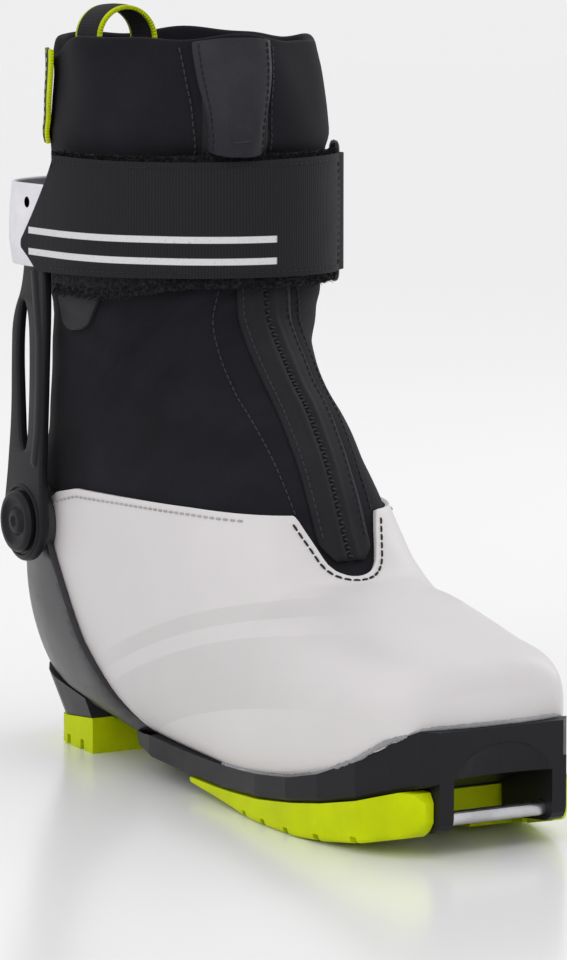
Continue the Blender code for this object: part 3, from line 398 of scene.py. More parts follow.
def tube(path, radius, sides=8, closed=False):
    """Round tube along a path; radius is one value or one per point."""
    path = np.asarray(path, float)
    count = len(path)
    radius = np.full(count, float(radius)) if np.isscalar(radius) else np.asarray(radius, float)
    if closed:
        ahead = np.roll(path, -1, 0) - np.roll(path, 1, 0)
    else:
        ahead = np.gradient(path, axis=0)
    ahead /= np.linalg.norm(ahead, axis=1)[:, None] + 1e-12
    side = np.cross(ahead[0], (0.0, 0.0, 1.0))
    if np.linalg.norm(side) < 0.2:
        side = np.cross(ahead[0], (1.0, 0.0, 0.0))
    points = []
    turn = np.linspace(0, 2 * math.pi, sides, endpoint=False)
    for k in range(count):
        side = side - ahead[k] * (side @ ahead[k])
        side /= np.linalg.norm(side) + 1e-12
        other = np.cross(ahead[k], side)
        for a in turn:
            points.append(path[k] + radius[k] * (side * math.cos(a) + other * math.sin(a)))
    faces = grid_faces(count, sides)
    last = (count - 1) * sides
    if closed:
        faces += [(last + j, last + (j + 1) % sides, (j + 1) % sides, j) for j in range(sides)]
    else:
        faces.append(tuple(range(sides))[::-1])
        faces.append(tuple(last + j for j in range(sides)))
    return points, faces


class Pile:
    """Collects many small shapes into one mesh."""

    def __init__(self):
        self.points, self.faces = [], []

    def add(self, shape):
        points, faces = shape
        start = len(self.points)
        self.points += [tuple(p) for p in points]
        self.faces += [tuple(i + start for i in f) for f in faces]

    def piece(self, name, look):
        return outward(piece(name, np.array(self.points), self.faces, look))


def resample(path, normals, step):
    """Path and normals at even steps along the path."""
    path, normals = np.asarray(path, float), np.asarray(normals, float)
    length = np.concatenate([[0], np.cumsum(np.linalg.norm(np.diff(path, axis=0), axis=1))])
    count = max(int(length[-1] / step), 2)
    spots = np.linspace(0, length[-1], count + 1)
    p = np.stack([np.interp(spots, length, path[:, k]) for k in range(3)], 1)
    n = np.stack([np.interp(spots, length, normals[:, k]) for k in range(3)], 1)
    n /= np.linalg.norm(n, axis=1)[:, None] + 1e-12
    return p, n


# One stitch: share of its length, lift and size there, both as shares of the thread's radius.
STITCH = ((0.0, -0.5, 0.6), (0.12, 0.25, 0.95), (0.5, 0.5, 1.0), (0.88, 0.25, 0.95), (1.0, -0.5, 0.6))


def stitches(pile, path, normals, pitch=3.0, thread=0.42, gap=0.9):
    """Sewn thread along a path that lies on a surface: short raised bars that dip in at both ends."""
    p, n = resample(path, normals, pitch)
    for k in range(len(p) - 1):
        a, b = p[k], p[k + 1]
        step = b - a
        size = np.linalg.norm(step)
        if size < 1e-6:
            continue
        a = a + step * (gap / 2 / size)
        b = b - step * (gap / 2 / size)
        up = n[k] + n[k + 1]
        up /= np.linalg.norm(up)
        line = [a + (b - a) * share + up * thread * lift for share, lift, _ in STITCH]
        pile.add(tube(line, [thread * v for _, _, v in STITCH], 6))


def surface_tree(points, triangles):
    return BVHTree.FromPolygons([tuple(p) for p in points], [tuple(int(i) for i in t) for t in triangles])


def cast(tree, origins, direction):
    """Points and normals where rays from outside first meet a surface."""
    path, normals = [], []
    for origin in origins:
        hit, normal, _, _ = tree.ray_cast(Vector(origin), Vector(direction))
        if hit is not None:
            if normal.dot(Vector(direction)) > 0:
                normal = -normal
            path.append(tuple(hit))
            normals.append(tuple(normal))
    return path, normals


def dense(line, step):
    """The line with points added, at most about a step apart."""
    out = []
    for a, b in zip(line, line[1:]):
        a, b = np.asarray(a, float), np.asarray(b, float)
        count = max(int(np.linalg.norm(b - a) / step), 1)
        out += [a + (b - a) * k / count for k in range(count)]
    return out + [np.asarray(line[-1], float)]


# ---- materials -----------------------------------------------------------------------
class Look:
    """A material with small helpers for its nodes. Texture coordinates come in millimetres."""

    def __init__(self, name, colour, rough, metal=0.0, uv=False, **sockets):
        self.mat = bpy.data.materials.new(name)
        self.mat.use_nodes = True
        self.tree = self.mat.node_tree
        self.shader = self.tree.nodes["Principled BSDF"]
        for key, value in dict(Base_Color=(*colour, 1.0), Roughness=rough, Metallic=metal, **sockets).items():
            self.put(self.shader, key.replace("_", " "), value)
        self.mat.diffuse_color = (*colour, 1.0)
        self.normal = None
        self.place = self.node("TexCoord", {}, "UV" if uv else "Object")
        if not uv:
            self.place = self.stretch(1 / MM, 1 / MM, 1 / MM)

    def put(self, node, key, value):
        if isinstance(value, bpy.types.NodeSocket):
            self.tree.links.new(value, node.inputs[key])
        else:
            node.inputs[key].default_value = value

    def node(self, kind, inputs, out=0, **props):
        """New node, its inputs given by name or number; returns one of its outputs."""
        made = self.tree.nodes.new("ShaderNode" + kind)
        for key, value in props.items():
            setattr(made, key, value)
        for key, value in inputs.items():
            self.put(made, key, value)
        return made.outputs[out]

    def noise(self, scale, detail=3.0, rough=0.55, place=None):
        place = self.place if place is None else place
        inputs = {"Vector": place, "Scale": scale, "Detail": detail, "Roughness": rough}
        return self.node("TexNoise", inputs, "Fac")

    def cells(self, scale):
        return self.node("TexVoronoi", {"Vector": self.place, "Scale": scale}, "Distance")

    def stretch(self, x, y, z, turn=(0.0, 0.0, 0.0)):
        return self.node("Mapping", {"Vector": self.place, "Scale": (x, y, z), "Rotation": turn}, "Vector")

    def axis(self, letter):
        return self.node("SeparateXYZ", {0: self.place}, letter)

    def math(self, operation, a, b=0.0, c=0.0):
        return self.node("Math", {0: a, 1: b, 2: c}, operation=operation)

    def times(self, a, b):
        return self.math("MULTIPLY", a, b)

    def off(self, value, centre):
        """Distance of value from a centre."""
        return self.math("ABSOLUTE", self.math("SUBTRACT", value, centre))

    def slow_shade(self, slow, colour, dark, light, low=0.3, high=0.7):
        """Colour that drifts slowly between a darker and a lighter tint."""
        return self.blend(self.between(slow, low, high), tint(colour, dark), tint(colour, light))

    def ribs(self, value, period):
        """Smooth ridges, one to a period, from 0 to 1."""
        turn = self.times(value, 2 * math.pi / period)
        return self.math("MULTIPLY_ADD", self.math("SINE", turn), 0.5, 0.5)

    def between(self, value, low, high, to_low=0.0, to_high=1.0):
        inputs = {"Value": value, "From Min": low, "From Max": high, "To Min": to_low, "To Max": to_high}
        return self.node("MapRange", inputs, "Result")

    def blend(self, factor, a, b):
        a, b = (v if isinstance(v, bpy.types.NodeSocket) else (*v, 1.0) for v in (a, b))
        return self.node("Mix", {0: factor, 6: a, 7: b}, 2, data_type="RGBA")

    def paint(self, socket):
        self.put(self.shader, "Base Color", socket)

    def roughness(self, value, low, high):
        self.put(self.shader, "Roughness", self.between(value, 0.25, 0.75, low, high))

    def bump(self, height, depth):
        """Raise the surface by height (0 to 1) times depth, in millimetres."""
        inputs = {"Height": height, "Distance": depth * MM, "Strength": 1.0}
        if self.normal is not None:
            inputs["Normal"] = self.normal
        self.normal = self.node("Bump", inputs, "Normal")
        self.put(self.shader, "Normal", self.normal)


def tint(colour, amount):
    return tuple(min(max(c * amount, 0.0), 1.0) for c in colour)


def cloth_look(name, colour, rough=0.85, uv=True, weave=0.7, depth=0.05, fleck=0.25, sheen=0.04):
    """Woven or knitted fabric: crossed ribs, slow shade changes and a light sheen."""
    made = Look(name, colour, rough, uv=uv, Sheen_Weight=sheen, Sheen_Roughness=0.45, Specular_IOR_Level=0.12)
    across = made.ribs(made.axis("X"), weave)
    along = made.ribs(made.axis("Y"), weave)
    gaps = made.times(made.math("SUBTRACT", 1.0, across), made.math("SUBTRACT", 1.0, along))
    threads = made.math("MAXIMUM", made.times(across, along), gaps)
    slow = made.noise(0.035, 4.0)
    fine = made.noise(1.1, 2.0)
    shade = made.math("MULTIPLY_ADD", made.math("SUBTRACT", fine, 0.5), fleck, made.times(slow, 1.0))
    made.paint(made.blend(made.between(shade, 0.3, 0.75), tint(colour, 0.72), tint(colour, 1.45)))
    made.roughness(slow, rough - 0.06, rough + 0.08)
    made.bump(threads, depth)
    made.bump(fine, depth)
    return made.mat


def plastic_look(name, colour, rough, grain=1.4, depth=0.03, wear=0.12, coat=0.0, shine=0.3):
    """Moulded plastic: fine spark grain, slow gloss changes and light scuffs."""
    made = Look(name, colour, rough, Coat_Weight=coat, Coat_Roughness=0.18, Specular_IOR_Level=shine)
    slow = made.noise(0.045, 4.0)
    spark = made.noise(grain, 2.0, 0.6)
    scuff = made.noise(0.35, 5.0, 0.7, made.stretch(1.0, 0.16, 1.0, (0.0, 0.0, 0.5)))
    scuffs = made.between(scuff, 0.62, 0.72)
    base = made.slow_shade(slow, colour, 0.86, 1.16)
    made.paint(made.blend(made.times(scuffs, wear), base, tint(colour, 2.2)))
    made.roughness(made.math("ADD", slow, made.times(scuffs, 0.25)), rough - 0.05, rough + 0.12)
    made.bump(spark, depth)
    return made.mat


def vamp_look():
    white, grey = (0.70, 0.672, 0.672), (0.545, 0.525, 0.522)
    made = Look("vamp_coating", white, 0.4, Specular_IOR_Level=0.4, Coat_Weight=0.06, Coat_Roughness=0.35)
    side, y, z = made.axis("X"), made.axis("Y"), made.axis("Z")
    # Two broad tonal bands that sweep forward along each side and fade out on the toe.
    wave = made.math("MULTIPLY_ADD", y, 0.30, z)
    sweep = made.math("MULTIPLY_ADD", made.times(y, y), 0.0011, wave)
    wide, thin = made.off(sweep, 37.0), made.off(sweep, 57.5)
    band = made.math("MAXIMUM", made.between(wide, 12.0, 11.6), made.between(thin, 3.2, 2.8))
    fade = made.times(made.between(y, -112.0, -60.0), made.between(y, 62.0, 30.0))
    band = made.times(made.times(band, fade), made.between(made.off(side, 0.0), 14.0, 34.0))
    slow = made.noise(0.03, 4.0)
    tone = made.slow_shade(slow, white, 0.975, 1.02)
    grime = made.between(made.noise(0.12, 6.0, 0.7), 0.56, 0.74)
    tone = made.blend(made.times(grime, 0.05), tone, (0.42, 0.40, 0.37))
    made.paint(made.blend(made.times(band, 0.42), tone, grey))
    grain = made.cells(0.9)
    made.roughness(made.math("MULTIPLY_ADD", grain, 0.2, slow), 0.36, 0.47)
    made.bump(grain, 0.022)
    made.bump(made.noise(0.05, 2.0), 0.35)
    return made.mat


def lime_look():
    lime = (0.57, 0.68, 0.0)
    made = Look("lime_rubber", lime, 0.52, Specular_IOR_Level=0.1)
    slow = made.noise(0.06, 4.0)
    # Darker lime in patches towards the bottom, within 2.6 mm of the floor.
    low = made.between(made.axis("Z"), 2.6, 0.2)
    bottom_darkening = made.times(low, made.between(made.noise(0.5, 5.0, 0.7), 0.45, 0.7))
    base = made.slow_shade(slow, lime, 0.9, 1.06)
    made.paint(made.blend(made.times(bottom_darkening, 0.35), base, (0.12, 0.13, 0.03)))
    made.roughness(slow, 0.46, 0.6)
    made.bump(made.noise(1.6, 2.0), 0.03)
    return made.mat


def steel_look(axis_scale=(0.06, 3.0, 3.0), colour=(0.62, 0.62, 0.635), name="brushed_steel"):
    made = Look(name, colour, 0.28, 1.0)
    lines = made.noise(1.3, 3.0, 0.7, made.stretch(*axis_scale))
    slow = made.noise(0.08, 4.0)
    made.paint(made.slow_shade(slow, colour, 0.8, 1.08, 0.35))
    made.roughness(made.math("MULTIPLY_ADD", lines, 0.5, made.times(slow, 0.5)), 0.2, 0.4)
    made.bump(lines, 0.012)
    return made.mat


def strap_look():
    """Woven strap: fine upright ribs and two plain printed lines along its middle."""
    black = (0.0165, 0.0165, 0.019)
    made = Look("strap_weave", black, 0.78, uv=True, Sheen_Weight=0.03, Sheen_Roughness=0.4,
                Specular_IOR_Level=0.12)
    u, v = made.axis("X"), made.axis("Y")
    rib = made.ribs(made.math("MULTIPLY_ADD", made.noise(0.25, 2.0), 0.5, u), 1.1)
    pick = made.ribs(v, 0.9)
    slow = made.noise(0.05, 4.0)
    base = made.blend(made.between(rib, 0.1, 0.9), tint(black, 0.8), tint(black, 1.3))
    base = made.blend(made.between(slow, 0.3, 0.7, 0.0, 0.35), base, tint(black, 1.3))
    low, high = (made.between(made.off(v, height), 1.25, 1.05) for height in (6.5, 14.0))
    lines = made.math("MAXIMUM", low, high)
    reach = made.times(made.between(u, 46.0, 46.6), made.between(u, 160.0, 159.4))
    worn = made.between(made.noise(0.9, 3.0), 0.25, 0.4, 0.55, 1.0)
    printed = made.times(made.times(lines, reach), worn)
    made.paint(made.blend(printed, base, (0.68, 0.68, 0.69)))
    made.roughness(slow, 0.7, 0.85)
    made.bump(rib, 0.06)
    made.bump(pick, 0.03)
    return made.mat


def pile_look():
    black = (0.0125, 0.0125, 0.014)
    made = Look("loop_pile", black, 0.95, Sheen_Weight=0.06, Sheen_Roughness=0.5, Specular_IOR_Level=0.08)
    fuzz = made.cells(0.8)
    made.paint(made.blend(made.between(fuzz, 0.2, 0.9), tint(black, 0.5), tint(black, 2.0)))
    made.roughness(fuzz, 0.9, 1.0)
    made.bump(fuzz, 0.35)
    return made.mat


def webbing_look(name, edge_at, dashes):
    """Lime-edged webbing: u runs across it from -1 to 1 (times 10), v along it in millimetres."""
    lime, black = (0.56, 0.68, 0.0), (0.015, 0.015, 0.017)
    made = Look(name, lime, 0.75, uv=True, Sheen_Weight=0.05, Specular_IOR_Level=0.1)
    u, v = made.axis("X"), made.axis("Y")
    core = made.between(made.off(u, 0.0), edge_at + 0.4, edge_at)
    row = made.between(made.off(made.off(u, 0.0), 3.0), 1.2, 0.9)
    dash = made.times(made.times(made.between(made.ribs(v, 3.2), 0.5, 0.6), row), dashes)
    black_part = made.times(core, made.math("SUBTRACT", 1.0, dash))
    slow = made.noise(0.12, 3.0)
    edge = made.slow_shade(slow, lime, 0.85, 1.05)
    made.paint(made.blend(black_part, edge, black))
    made.roughness(slow, 0.7, 0.85)
    made.bump(made.ribs(made.math("ADD", u, v), 1.1), 0.12)
    made.bump(made.ribs(v, 1.1), 0.08)
    return made.mat


SOFTSHELL = cloth_look("softshell", (0.0105, 0.010, 0.0135), 0.8, weave=0.9, depth=0.04, sheen=0.02)
VAMP = vamp_look()
COUNTER = plastic_look("counter_gloss", (0.031, 0.0295, 0.033), 0.34, 1.0, 0.008, 0.1, 0.12)
LIME = lime_look()
STEEL = steel_look()
STEEL_SMALL = steel_look((1.0, 1.0, 0.1), (0.36, 0.36, 0.38), "dark_steel")
COATED = steel_look((1.0, 1.0, 0.1), (0.045, 0.045, 0.05), "coated_steel")
STRAP = strap_look()
PILE_LOOK = pile_look()
WEBBING = webbing_look("edged_webbing", 7.4, 1.0)
LOOP_WEBBING = webbing_look("edged_webbing_plain", 8.2, 0.0)
LINER = cloth_look("liner_knit", (0.022, 0.022, 0.025), 0.92, weave=1.5, depth=0.12, sheen=0.08)
FOAM = cloth_look("insole_cloth", (0.07, 0.075, 0.08), 0.92, uv=False, weave=1.8, depth=0.1)
ZIP_TAPE = cloth_look("zip_tape", (0.0155, 0.015, 0.018), 0.6, weave=1.0, depth=0.05, sheen=0.03)
GARAGE = cloth_look("garage_film", (0.026, 0.0255, 0.031), 0.5, weave=1.1, depth=0.03, sheen=0.02)
WING_CLOTH = cloth_look("wing_cloth", (0.028, 0.028, 0.032), 0.6, uv=False, weave=1.2, depth=0.05)
CHASSIS = plastic_look("chassis_plastic", (0.0095, 0.009, 0.0115), 0.42, 1.6, 0.02, 0.15, shine=0.22)
BASE_CUP = plastic_look("heel_base_plastic", (0.024, 0.0235, 0.026), 0.4, 1.4, 0.02, 0.15)
ARM = plastic_look("arm_plastic", (0.009, 0.009, 0.011), 0.4, 1.8, 0.02, 0.12, shine=0.2)
BAND = plastic_look("band_plastic", (0.74, 0.725, 0.76), 0.42, 1.2, 0.015, 0.03)
BOARD = plastic_look("fibre_board", (0.33, 0.28, 0.2), 0.9, 0.8, 0.08, 0.2)
COIL = plastic_look("zip_coil_plastic", (0.02, 0.02, 0.022), 0.4, 2.0, 0.01, 0.1)
SILVER = cloth_look("silver_piping", (0.30, 0.30, 0.31), 0.55, uv=False, weave=0.8, depth=0.1)
THREAD_GREY = plastic_look("thread_grey", (0.40, 0.39, 0.39), 0.7, 3.0, 0.03, 0.1)
THREAD_BLACK = plastic_look("thread_black", (0.012, 0.012, 0.013), 0.65, 3.0, 0.03, 0.1)
THREAD_DARK = plastic_look("thread_dark", (0.03, 0.03, 0.034), 0.7, 3.0, 0.03, 0.1)


# ---- softshell bootie ----------------------------------------------------------------
def wrinkle(p, w):
    """Outward drift of the softshell at point p, w of the way round: soft creases and a loose collar."""
    angle = 2 * math.pi * w
    free = float(smooth(p[2], 101.0, 116.0))
    out = 0.0
    out += free * 1.1 * noise.noise(Vector((p[0], p[1], p[2])) * 0.018)
    fold = noise.noise(Vector((p[0] * 0.02, p[1] * 0.02, p[2] * 0.055 + 0.02 * p[1] + 7.0)))
    out += free * 1.0 * fold * (1.0 - float(smooth(p[2], 150.0, 185.0)) * 0.4)
    # Shallow creases that fan out from the front of the ankle.
    side = abs(math.sin(angle))
    ahead = float(smooth(p[1], 112.0, 50.0))
    for centre, slope, depth in ((128.0, 0.42, 0.8), (146.0, 0.28, 1.0), (163.0, 0.12, 0.7)):
        line = p[2] - centre - slope * (p[1] - 20.0)
        out -= free * depth * math.exp(-(line / 4.0) ** 2) * side * ahead
        out += free * 0.6 * depth * math.exp(-((line - 8.0) / 5.0) ** 2) * side * ahead
    # The collar is looser: long vertical waves that grow to the rim.
    loose = float(smooth(p[2], 219.0, 252.0))
    out += loose * (1.5 * math.sin(angle * 5 + 0.6) * 0.7 + 1.2 * math.sin(angle * 9 + 1.9) * 0.4
                    + 1.3 * noise.noise(Vector((math.cos(angle) * 2.2, math.sin(angle) * 2.2, p[2] * 0.03))))
    # Pressed in under the strap, bulging a little above and below it.
    out -= 0.5 * math.exp(-((p[2] - 196.0) / 14.0) ** 2)
    out += 0.8 * math.exp(-((p[2] - 223.0) / 4.0) ** 2) + 0.7 * math.exp(-((p[2] - 168.0) / 5.0) ** 2)
    return out


def rim_wave(w):
    """How much the collar's top edge rises and falls round the leg."""
    a = 2 * math.pi * w
    lip = -5.5 * math.exp(-((w - 0.335) / 0.035) ** 2)
    return 0.9 * math.sin(2 * a + 0.4) + 0.7 * math.sin(5 * a + 1.3) + 0.5 * math.sin(9 * a) + lip


SLEEVE = GRID.copy()
for row in range(len(GRID)):
    for col in range(COLUMNS):
        p = GRID[row, col]
        w = col / COLUMNS
        if p[2] > SLEEVE_FROM:
            SLEEVE[row, col] = p + NORMAL[row, col] * wrinkle(p, w)
            SLEEVE[row, col, 2] += float(smooth(p[2], 236.0, 256.0)) * rim_wave(w)


SLEEVE_NORMAL = grid_normals(SLEEVE)
SLEEVE_NORMAL *= np.where((SLEEVE_NORMAL * NORMAL).sum(2) < 0, -1.0, 1.0)[:, :, None]


def run_across(points):
    """Length from the first column to each column, row by row."""
    steps = np.linalg.norm(np.diff(points, axis=1), axis=2)
    return np.concatenate([np.zeros((len(points), 1)), np.cumsum(steps, axis=1)], 1)


def skin_uv(points):
    """Length round and along the skin at each grid point, in millimetres."""
    rows, columns = points.shape[:2]
    wrapped = np.concatenate([points, points[:, :1]], 1)
    around = run_across(wrapped)
    along = np.zeros((rows, columns + 1))
    along[1:] = np.cumsum(np.linalg.norm(np.diff(wrapped, axis=0), axis=2), axis=0)
    along = along.mean(1, keepdims=True) * np.ones((1, columns + 1))
    return np.stack([around - around.mean(1, keepdims=True), along], 2)


def rolled_rim(outer, outer_normal, depth, steps=7):
    """Rings that carry the collar's edge over and inside it, as a soft roll."""
    rings = []
    half = depth / 2
    for k in range(1, steps + 1):
        a = math.pi * k / steps
        up = np.array((0.0, 0.0, half * 0.9 * math.sin(a)))
        rings.append(outer - outer_normal * (half * (1 - math.cos(a))) + up)
    return rings


# Softshell: outer face, rolled over the rim to the inside.
level = SLEEVE_NORMAL[-1].copy()
level[:, 2] = 0
level /= np.linalg.norm(level, axis=1)[:, None]
ROLL_DEPTH, SHELL_THICK = 3.4, 1.4
roll = rolled_rim(SLEEVE[-1], level, ROLL_DEPTH)
inside = [roll[-1] + np.array((0.0, 0.0, -d)) - level * (0.25 * d / 10) for d in (4.0, 9.0, 15.0)]
shell_points = np.concatenate([SLEEVE, np.array(roll + inside)])
sleeve = grid_piece("softshell_upper", shell_points, SOFTSHELL, cap=True, uv=skin_uv(shell_points))
settle(thicken(outward(sleeve), SHELL_THICK))
attach(sleeve, "ankle", "softshell", "sleeve_lower", "sleeve_ankle", "sleeve_leg", "sleeve_collar")

# Liner: knitted, padded layer inside.
LINER_IN, LINER_THICK, LINER_TOP = 6.2, 2.6, 24.4
inner_points = GRID - NORMAL * LINER_IN
top = np.argmax(ROW_S >= LINER_TOP)
for row in range(len(GRID)):
    for col in range(COLUMNS):
        quilt = math.sin(GRID[row, col, 2] * 0.35) * math.cos(col * 2 * math.pi / COLUMNS * 12)
        inner_points[row, col] += NORMAL[row, col] * (0.35 * quilt)
liner = grid_piece("padded_liner", inner_points[:top], LINER, cap=True, uv=skin_uv(inner_points[:top]))
settle(thicken(outward(liner), LINER_THICK, offset=1.0))
attach(liner, "ankle", "liner", "liner_lower", "liner_ankle", "liner_collar")

# ---- tongue --------------------------------------------------------------------------
# The tongue's form is the CAD node's own, copied here with the liner's knit.
tongue_data = NODES["tongue"].data.copy()
tongue_data.transform(NODES["tongue"].matrix_world)
tongue_data.materials.clear()
tongue_data.materials.append(LINER)
attach(add("tongue_knit", tongue_data), "ankle", "liner", "tongue")

# ---- vamp cover ----------------------------------------------------------------------
VAMP_OUT, VAMP_THICK, TUCK = 1.9, 1.5, 7.0
vamp_top = [(98.5, 84.0), (92.0, 91.5), (84.5, 95.4), (69.5, 98.2), (40.0, 98.6), (-2.0, 99.3),
            (-60.0, 99.0), (-170.0, 99.0)]
vamp_region = [(-170.0, -20.0), (40.0, -20.0)] + [(y + 7.0, z) for y, z in reversed(WING)] + vamp_top
skin_points = (GRID + NORMAL * VAMP_OUT).reshape(-1, 3)
cap_tip = skin_points[:COLUMNS].mean(0)
skin_all = np.concatenate([skin_points, [cap_tip]])
tris = skin_triangles(len(GRID))
tip_index = len(skin_all) - 1
tris = np.concatenate([tris, [(tip_index, (k + 1) % COLUMNS, k) for k in range(COLUMNS)]])
field = distance_to_outline(skin_all[:, 1:], vamp_region)
field = np.maximum(field, -throat_distance(skin_all))
field = np.maximum(field, rim_height(skin_all[:, 1]) - TUCK - skin_all[:, 2])
vamp_points, vamp_faces = clip(skin_all, tris, field)
vamp = outward(piece("vamp_cover_coated", vamp_points, vamp_faces, VAMP))
settle(thicken(vamp, VAMP_THICK, 0.35))
attach(vamp, "boot", "vamp", "vamp_cover")

VAMP_TREE = surface_tree(skin_all, tris)
grey_pile, black_pile = Pile(), Pile()
for side in (-1, 1):
    line = dense([(90.0, 88.5), (84.0, 92.2), (69.5, 95.4), (40.0, 96.2), (-2.0, 96.9), (-27.0, 96.8)], 1.5)
    path, normals = cast(VAMP_TREE, [(side * 90.0, y, z) for y, z in line], (-side, 0.0, 0.0))
    stitches(grey_pile, path, normals, 3.0, 0.42, 1.0)
base, up, out = throat_axes()
u_line = dense(throat_outline(2.2), 1.0)
starts = [base + np.array((u, 0, 0)) + up * v + out * 40.0 for u, v in u_line]
path, normals = cast(VAMP_TREE, starts, -out)
low_part = [(p, n) for p, n in zip(path, normals) if p[2] < 97.0]
stitches(black_pile, *zip(*low_part), 3.2, 0.42, 0.8)
attach(grey_pile.piece("stitching_vamp_top", THREAD_GREY), "boot", "vamp")
attach(black_pile.piece("stitching_throat", THREAD_BLACK), "boot", "vamp")

# ---- heel counter with its ridge -----------------------------------------------------
RIDGE = ((89.0, 84.0), (70.0, 52.0), (56.0, 31.0), (45.0, 15.0))


def counter_offset(points):
    """Thickness of the counter: a flat facet in front of the ridge, thin at the front edge."""
    ahead = -distance_side(points[:, 1:], RIDGE)
    return 4.7 - 2.6 * smooth(ahead, 0.5, 11.0) - 0.15 * smooth(ahead, -1.5, 0.5)


def distance_side(flat, line):
    """Distance from a line in side view, positive behind it."""
    best, sign = np.full(len(flat), 1e9), np.ones(len(flat))
    for a, b in zip(line, line[1:]):
        a, b = np.asarray(a), np.asarray(b)
        d = b - a
        t = np.clip(((flat - a) @ d) / (d @ d), 0, 1)
        gap = flat - a - t[:, None] * d
        size = np.linalg.norm(gap, axis=1)
        cross = d[0] * (flat[:, 1] - a[1]) - d[1] * (flat[:, 0] - a[0])
        closer = size < best
        best = np.where(closer, size, best)
        sign = np.where(closer, np.where(cross > 0, -1.0, 1.0), sign)
    return best * sign * -1.0


seam = [(y, z + 0.9) for y, z in SEAM]
counter_region = [seam[0], (34.0, 8.0)] + list(reversed(WING))
counter_region += [(97.0, 95.0), (110.0, 94.0), (170.0, 88.0), (170.0, 37.9), seam[1]]
flat_grid = GRID.reshape(-1, 3)
counter_points = flat_grid + NORMAL.reshape(-1, 3) * counter_offset(flat_grid)[:, None]
field = distance_to_outline(counter_points[:, 1:], counter_region)
points, faces = clip(counter_points, skin_triangles(len(GRID)), field)
counter = outward(piece("heel_counter_shell", points, faces, COUNTER, smooth_angle=30.0))
settle(thicken(counter, 2.3, 0.4))
attach(counter, "boot", "counter", "heel_counter")


def lathe(name, profile, look, side, steps=48):
    """Round piece about the pivot axis: profile of (x from the centre plane, radius)."""
    points = []
    for x, r in profile:
        for k in range(steps):
            a = 2 * math.pi * k / steps
            points.append((side * x, PIVOT_Y + r * math.cos(a), PIVOT_Z + r * math.sin(a)))
    rows = len(profile)
    faces = grid_faces(rows, steps)
    faces.append(tuple(range(steps)))
    faces.append(tuple((rows - 1) * steps + k for k in range(steps)))
    return outward(piece(name, np.array(points), faces, look, smooth_angle=35.0))


BOSS_PROFILE = ((37.0, 12.4), (41.0, 12.0), (43.6, 11.6), (44.3, 11.0), (44.3, 4.4), (37.0, 4.4))
CAP_PROFILE = ((49.3, 10.9), (50.9, 11.2), (51.9, 10.7), (52.4, 9.9), (52.4, 8.6), (51.9, 8.0),
               (51.2, 7.2), (50.9, 6.2), (50.9, 5.2), (51.3, 4.7), (52.0, 4.2), (52.3, 3.4),
               (52.3, 2.2), (51.8, 1.9), (51.4, 1.2), (51.3, 0.2))
for side, name in SIDES:
    attach(lathe("pivot_boss_" + name, BOSS_PROFILE, COUNTER, side), "boot", "counter")
    attach(lathe("pivot_cap_dished_" + name, CAP_PROFILE, ARM, side), "cuff", "arm", "pivot_cap_" + name)

# ---- zip -----------------------------------------------------------------------------
ZIP_LOW, ZIP_HIGH, ZIP_STEPS = 7.45, 24.9, 150
ZIP_S = [ZIP_LOW + k * (ZIP_HIGH - ZIP_LOW) / ZIP_STEPS for k in range(ZIP_STEPS + 1)]


def sleeve_lift(p):
    """How far the softshell stands off the form near a point, from its wrinkles."""
    return 0.0 if p[2] < SLEEVE_FROM else wrinkle(p, 0.0)


def front_strip(stops, xs, lift_at):
    """Rows of points on the front of the form; lift_at(s, share) is the height above it."""
    rows = []
    for s in stops:
        line = []
        for x in xs(s):
            p, n = on_front(s, x)
            line.append(p + n * (lift_at(s, x - drift(s)) + sleeve_lift(p)))
        rows.append(line)
    return np.array(rows)


def strip_piece(name, outer, look, thickness):
    rows, columns = outer.shape[:2]
    across = run_across(outer)
    across = np.concatenate([across, across[:, -1:]], 1)
    along = np.concatenate([[0], np.cumsum(np.linalg.norm(np.diff(outer[:, columns // 2], axis=0), axis=1))])
    uv = np.stack([across, along[:, None] * np.ones((1, columns + 1))], 2)
    return settle(thicken(outward(grid_piece(name, outer, look, closed=False, uv=uv)), thickness))


def tape_lift(s, x):
    """Height of the zip tape over the form: a groove along the coil, low at both edges."""
    edge = abs(x)
    rise = 1.5 - 0.9 * float(smooth(edge, 8.8, 10.2))
    return rise - 1.0 * math.exp(-(edge / 0.9) ** 2) + 0.35 * math.exp(-((edge - 2.6) / 1.1) ** 2)


def tape_xs(s):
    width = 9.4 * float(smooth(s, 6.9, 8.0)) + 0.8
    return [drift(s) + width * t for t in np.linspace(-1, 1, 33)]


tape = strip_piece("zip_tapes", front_strip(ZIP_S, tape_xs, tape_lift), ZIP_TAPE, 0.9)
attach(tape, "ankle", "zip", "zip_tape_lateral", "zip_tape_medial", "zip_coil")

teeth = Pile()
zip_line, zip_normals = [], []
for s in ZIP_S:
    p, n = on_front(s, drift(s))
    zip_line.append(p + n * (0.95 + sleeve_lift(p)))
    zip_normals.append(n)
line, line_normals = resample(zip_line, zip_normals, 1.5)
for k in range(1, len(line) - 1):
    ahead = line[k + 1] - line[k - 1]
    ahead /= np.linalg.norm(ahead)
    side = np.cross(ahead, line_normals[k])
    sign = 1 if k % 2 else -1
    reach = side * sign
    ends = [line[k] - reach * 0.5 + ahead * 0.3, line[k] + reach * 0.8, line[k] + reach * 1.5 - ahead * 0.4]
    teeth.add(tube(ends, [0.42, 0.5, 0.34], 6))
attach(teeth.piece("zip_teeth", COIL), "ankle", "zip_coil")

seams = Pile()


def seam_path(shift, low, high, lift, step=0.12):
    """Line beside the zip, shift(s) millimetres from its middle."""
    path, normals = [], []
    s = low
    while s <= high:
        p, n = on_front(s, drift(s) + shift(s))
        path.append(p + n * (lift + sleeve_lift(p)))
        normals.append(n)
        s += step
    return path, normals


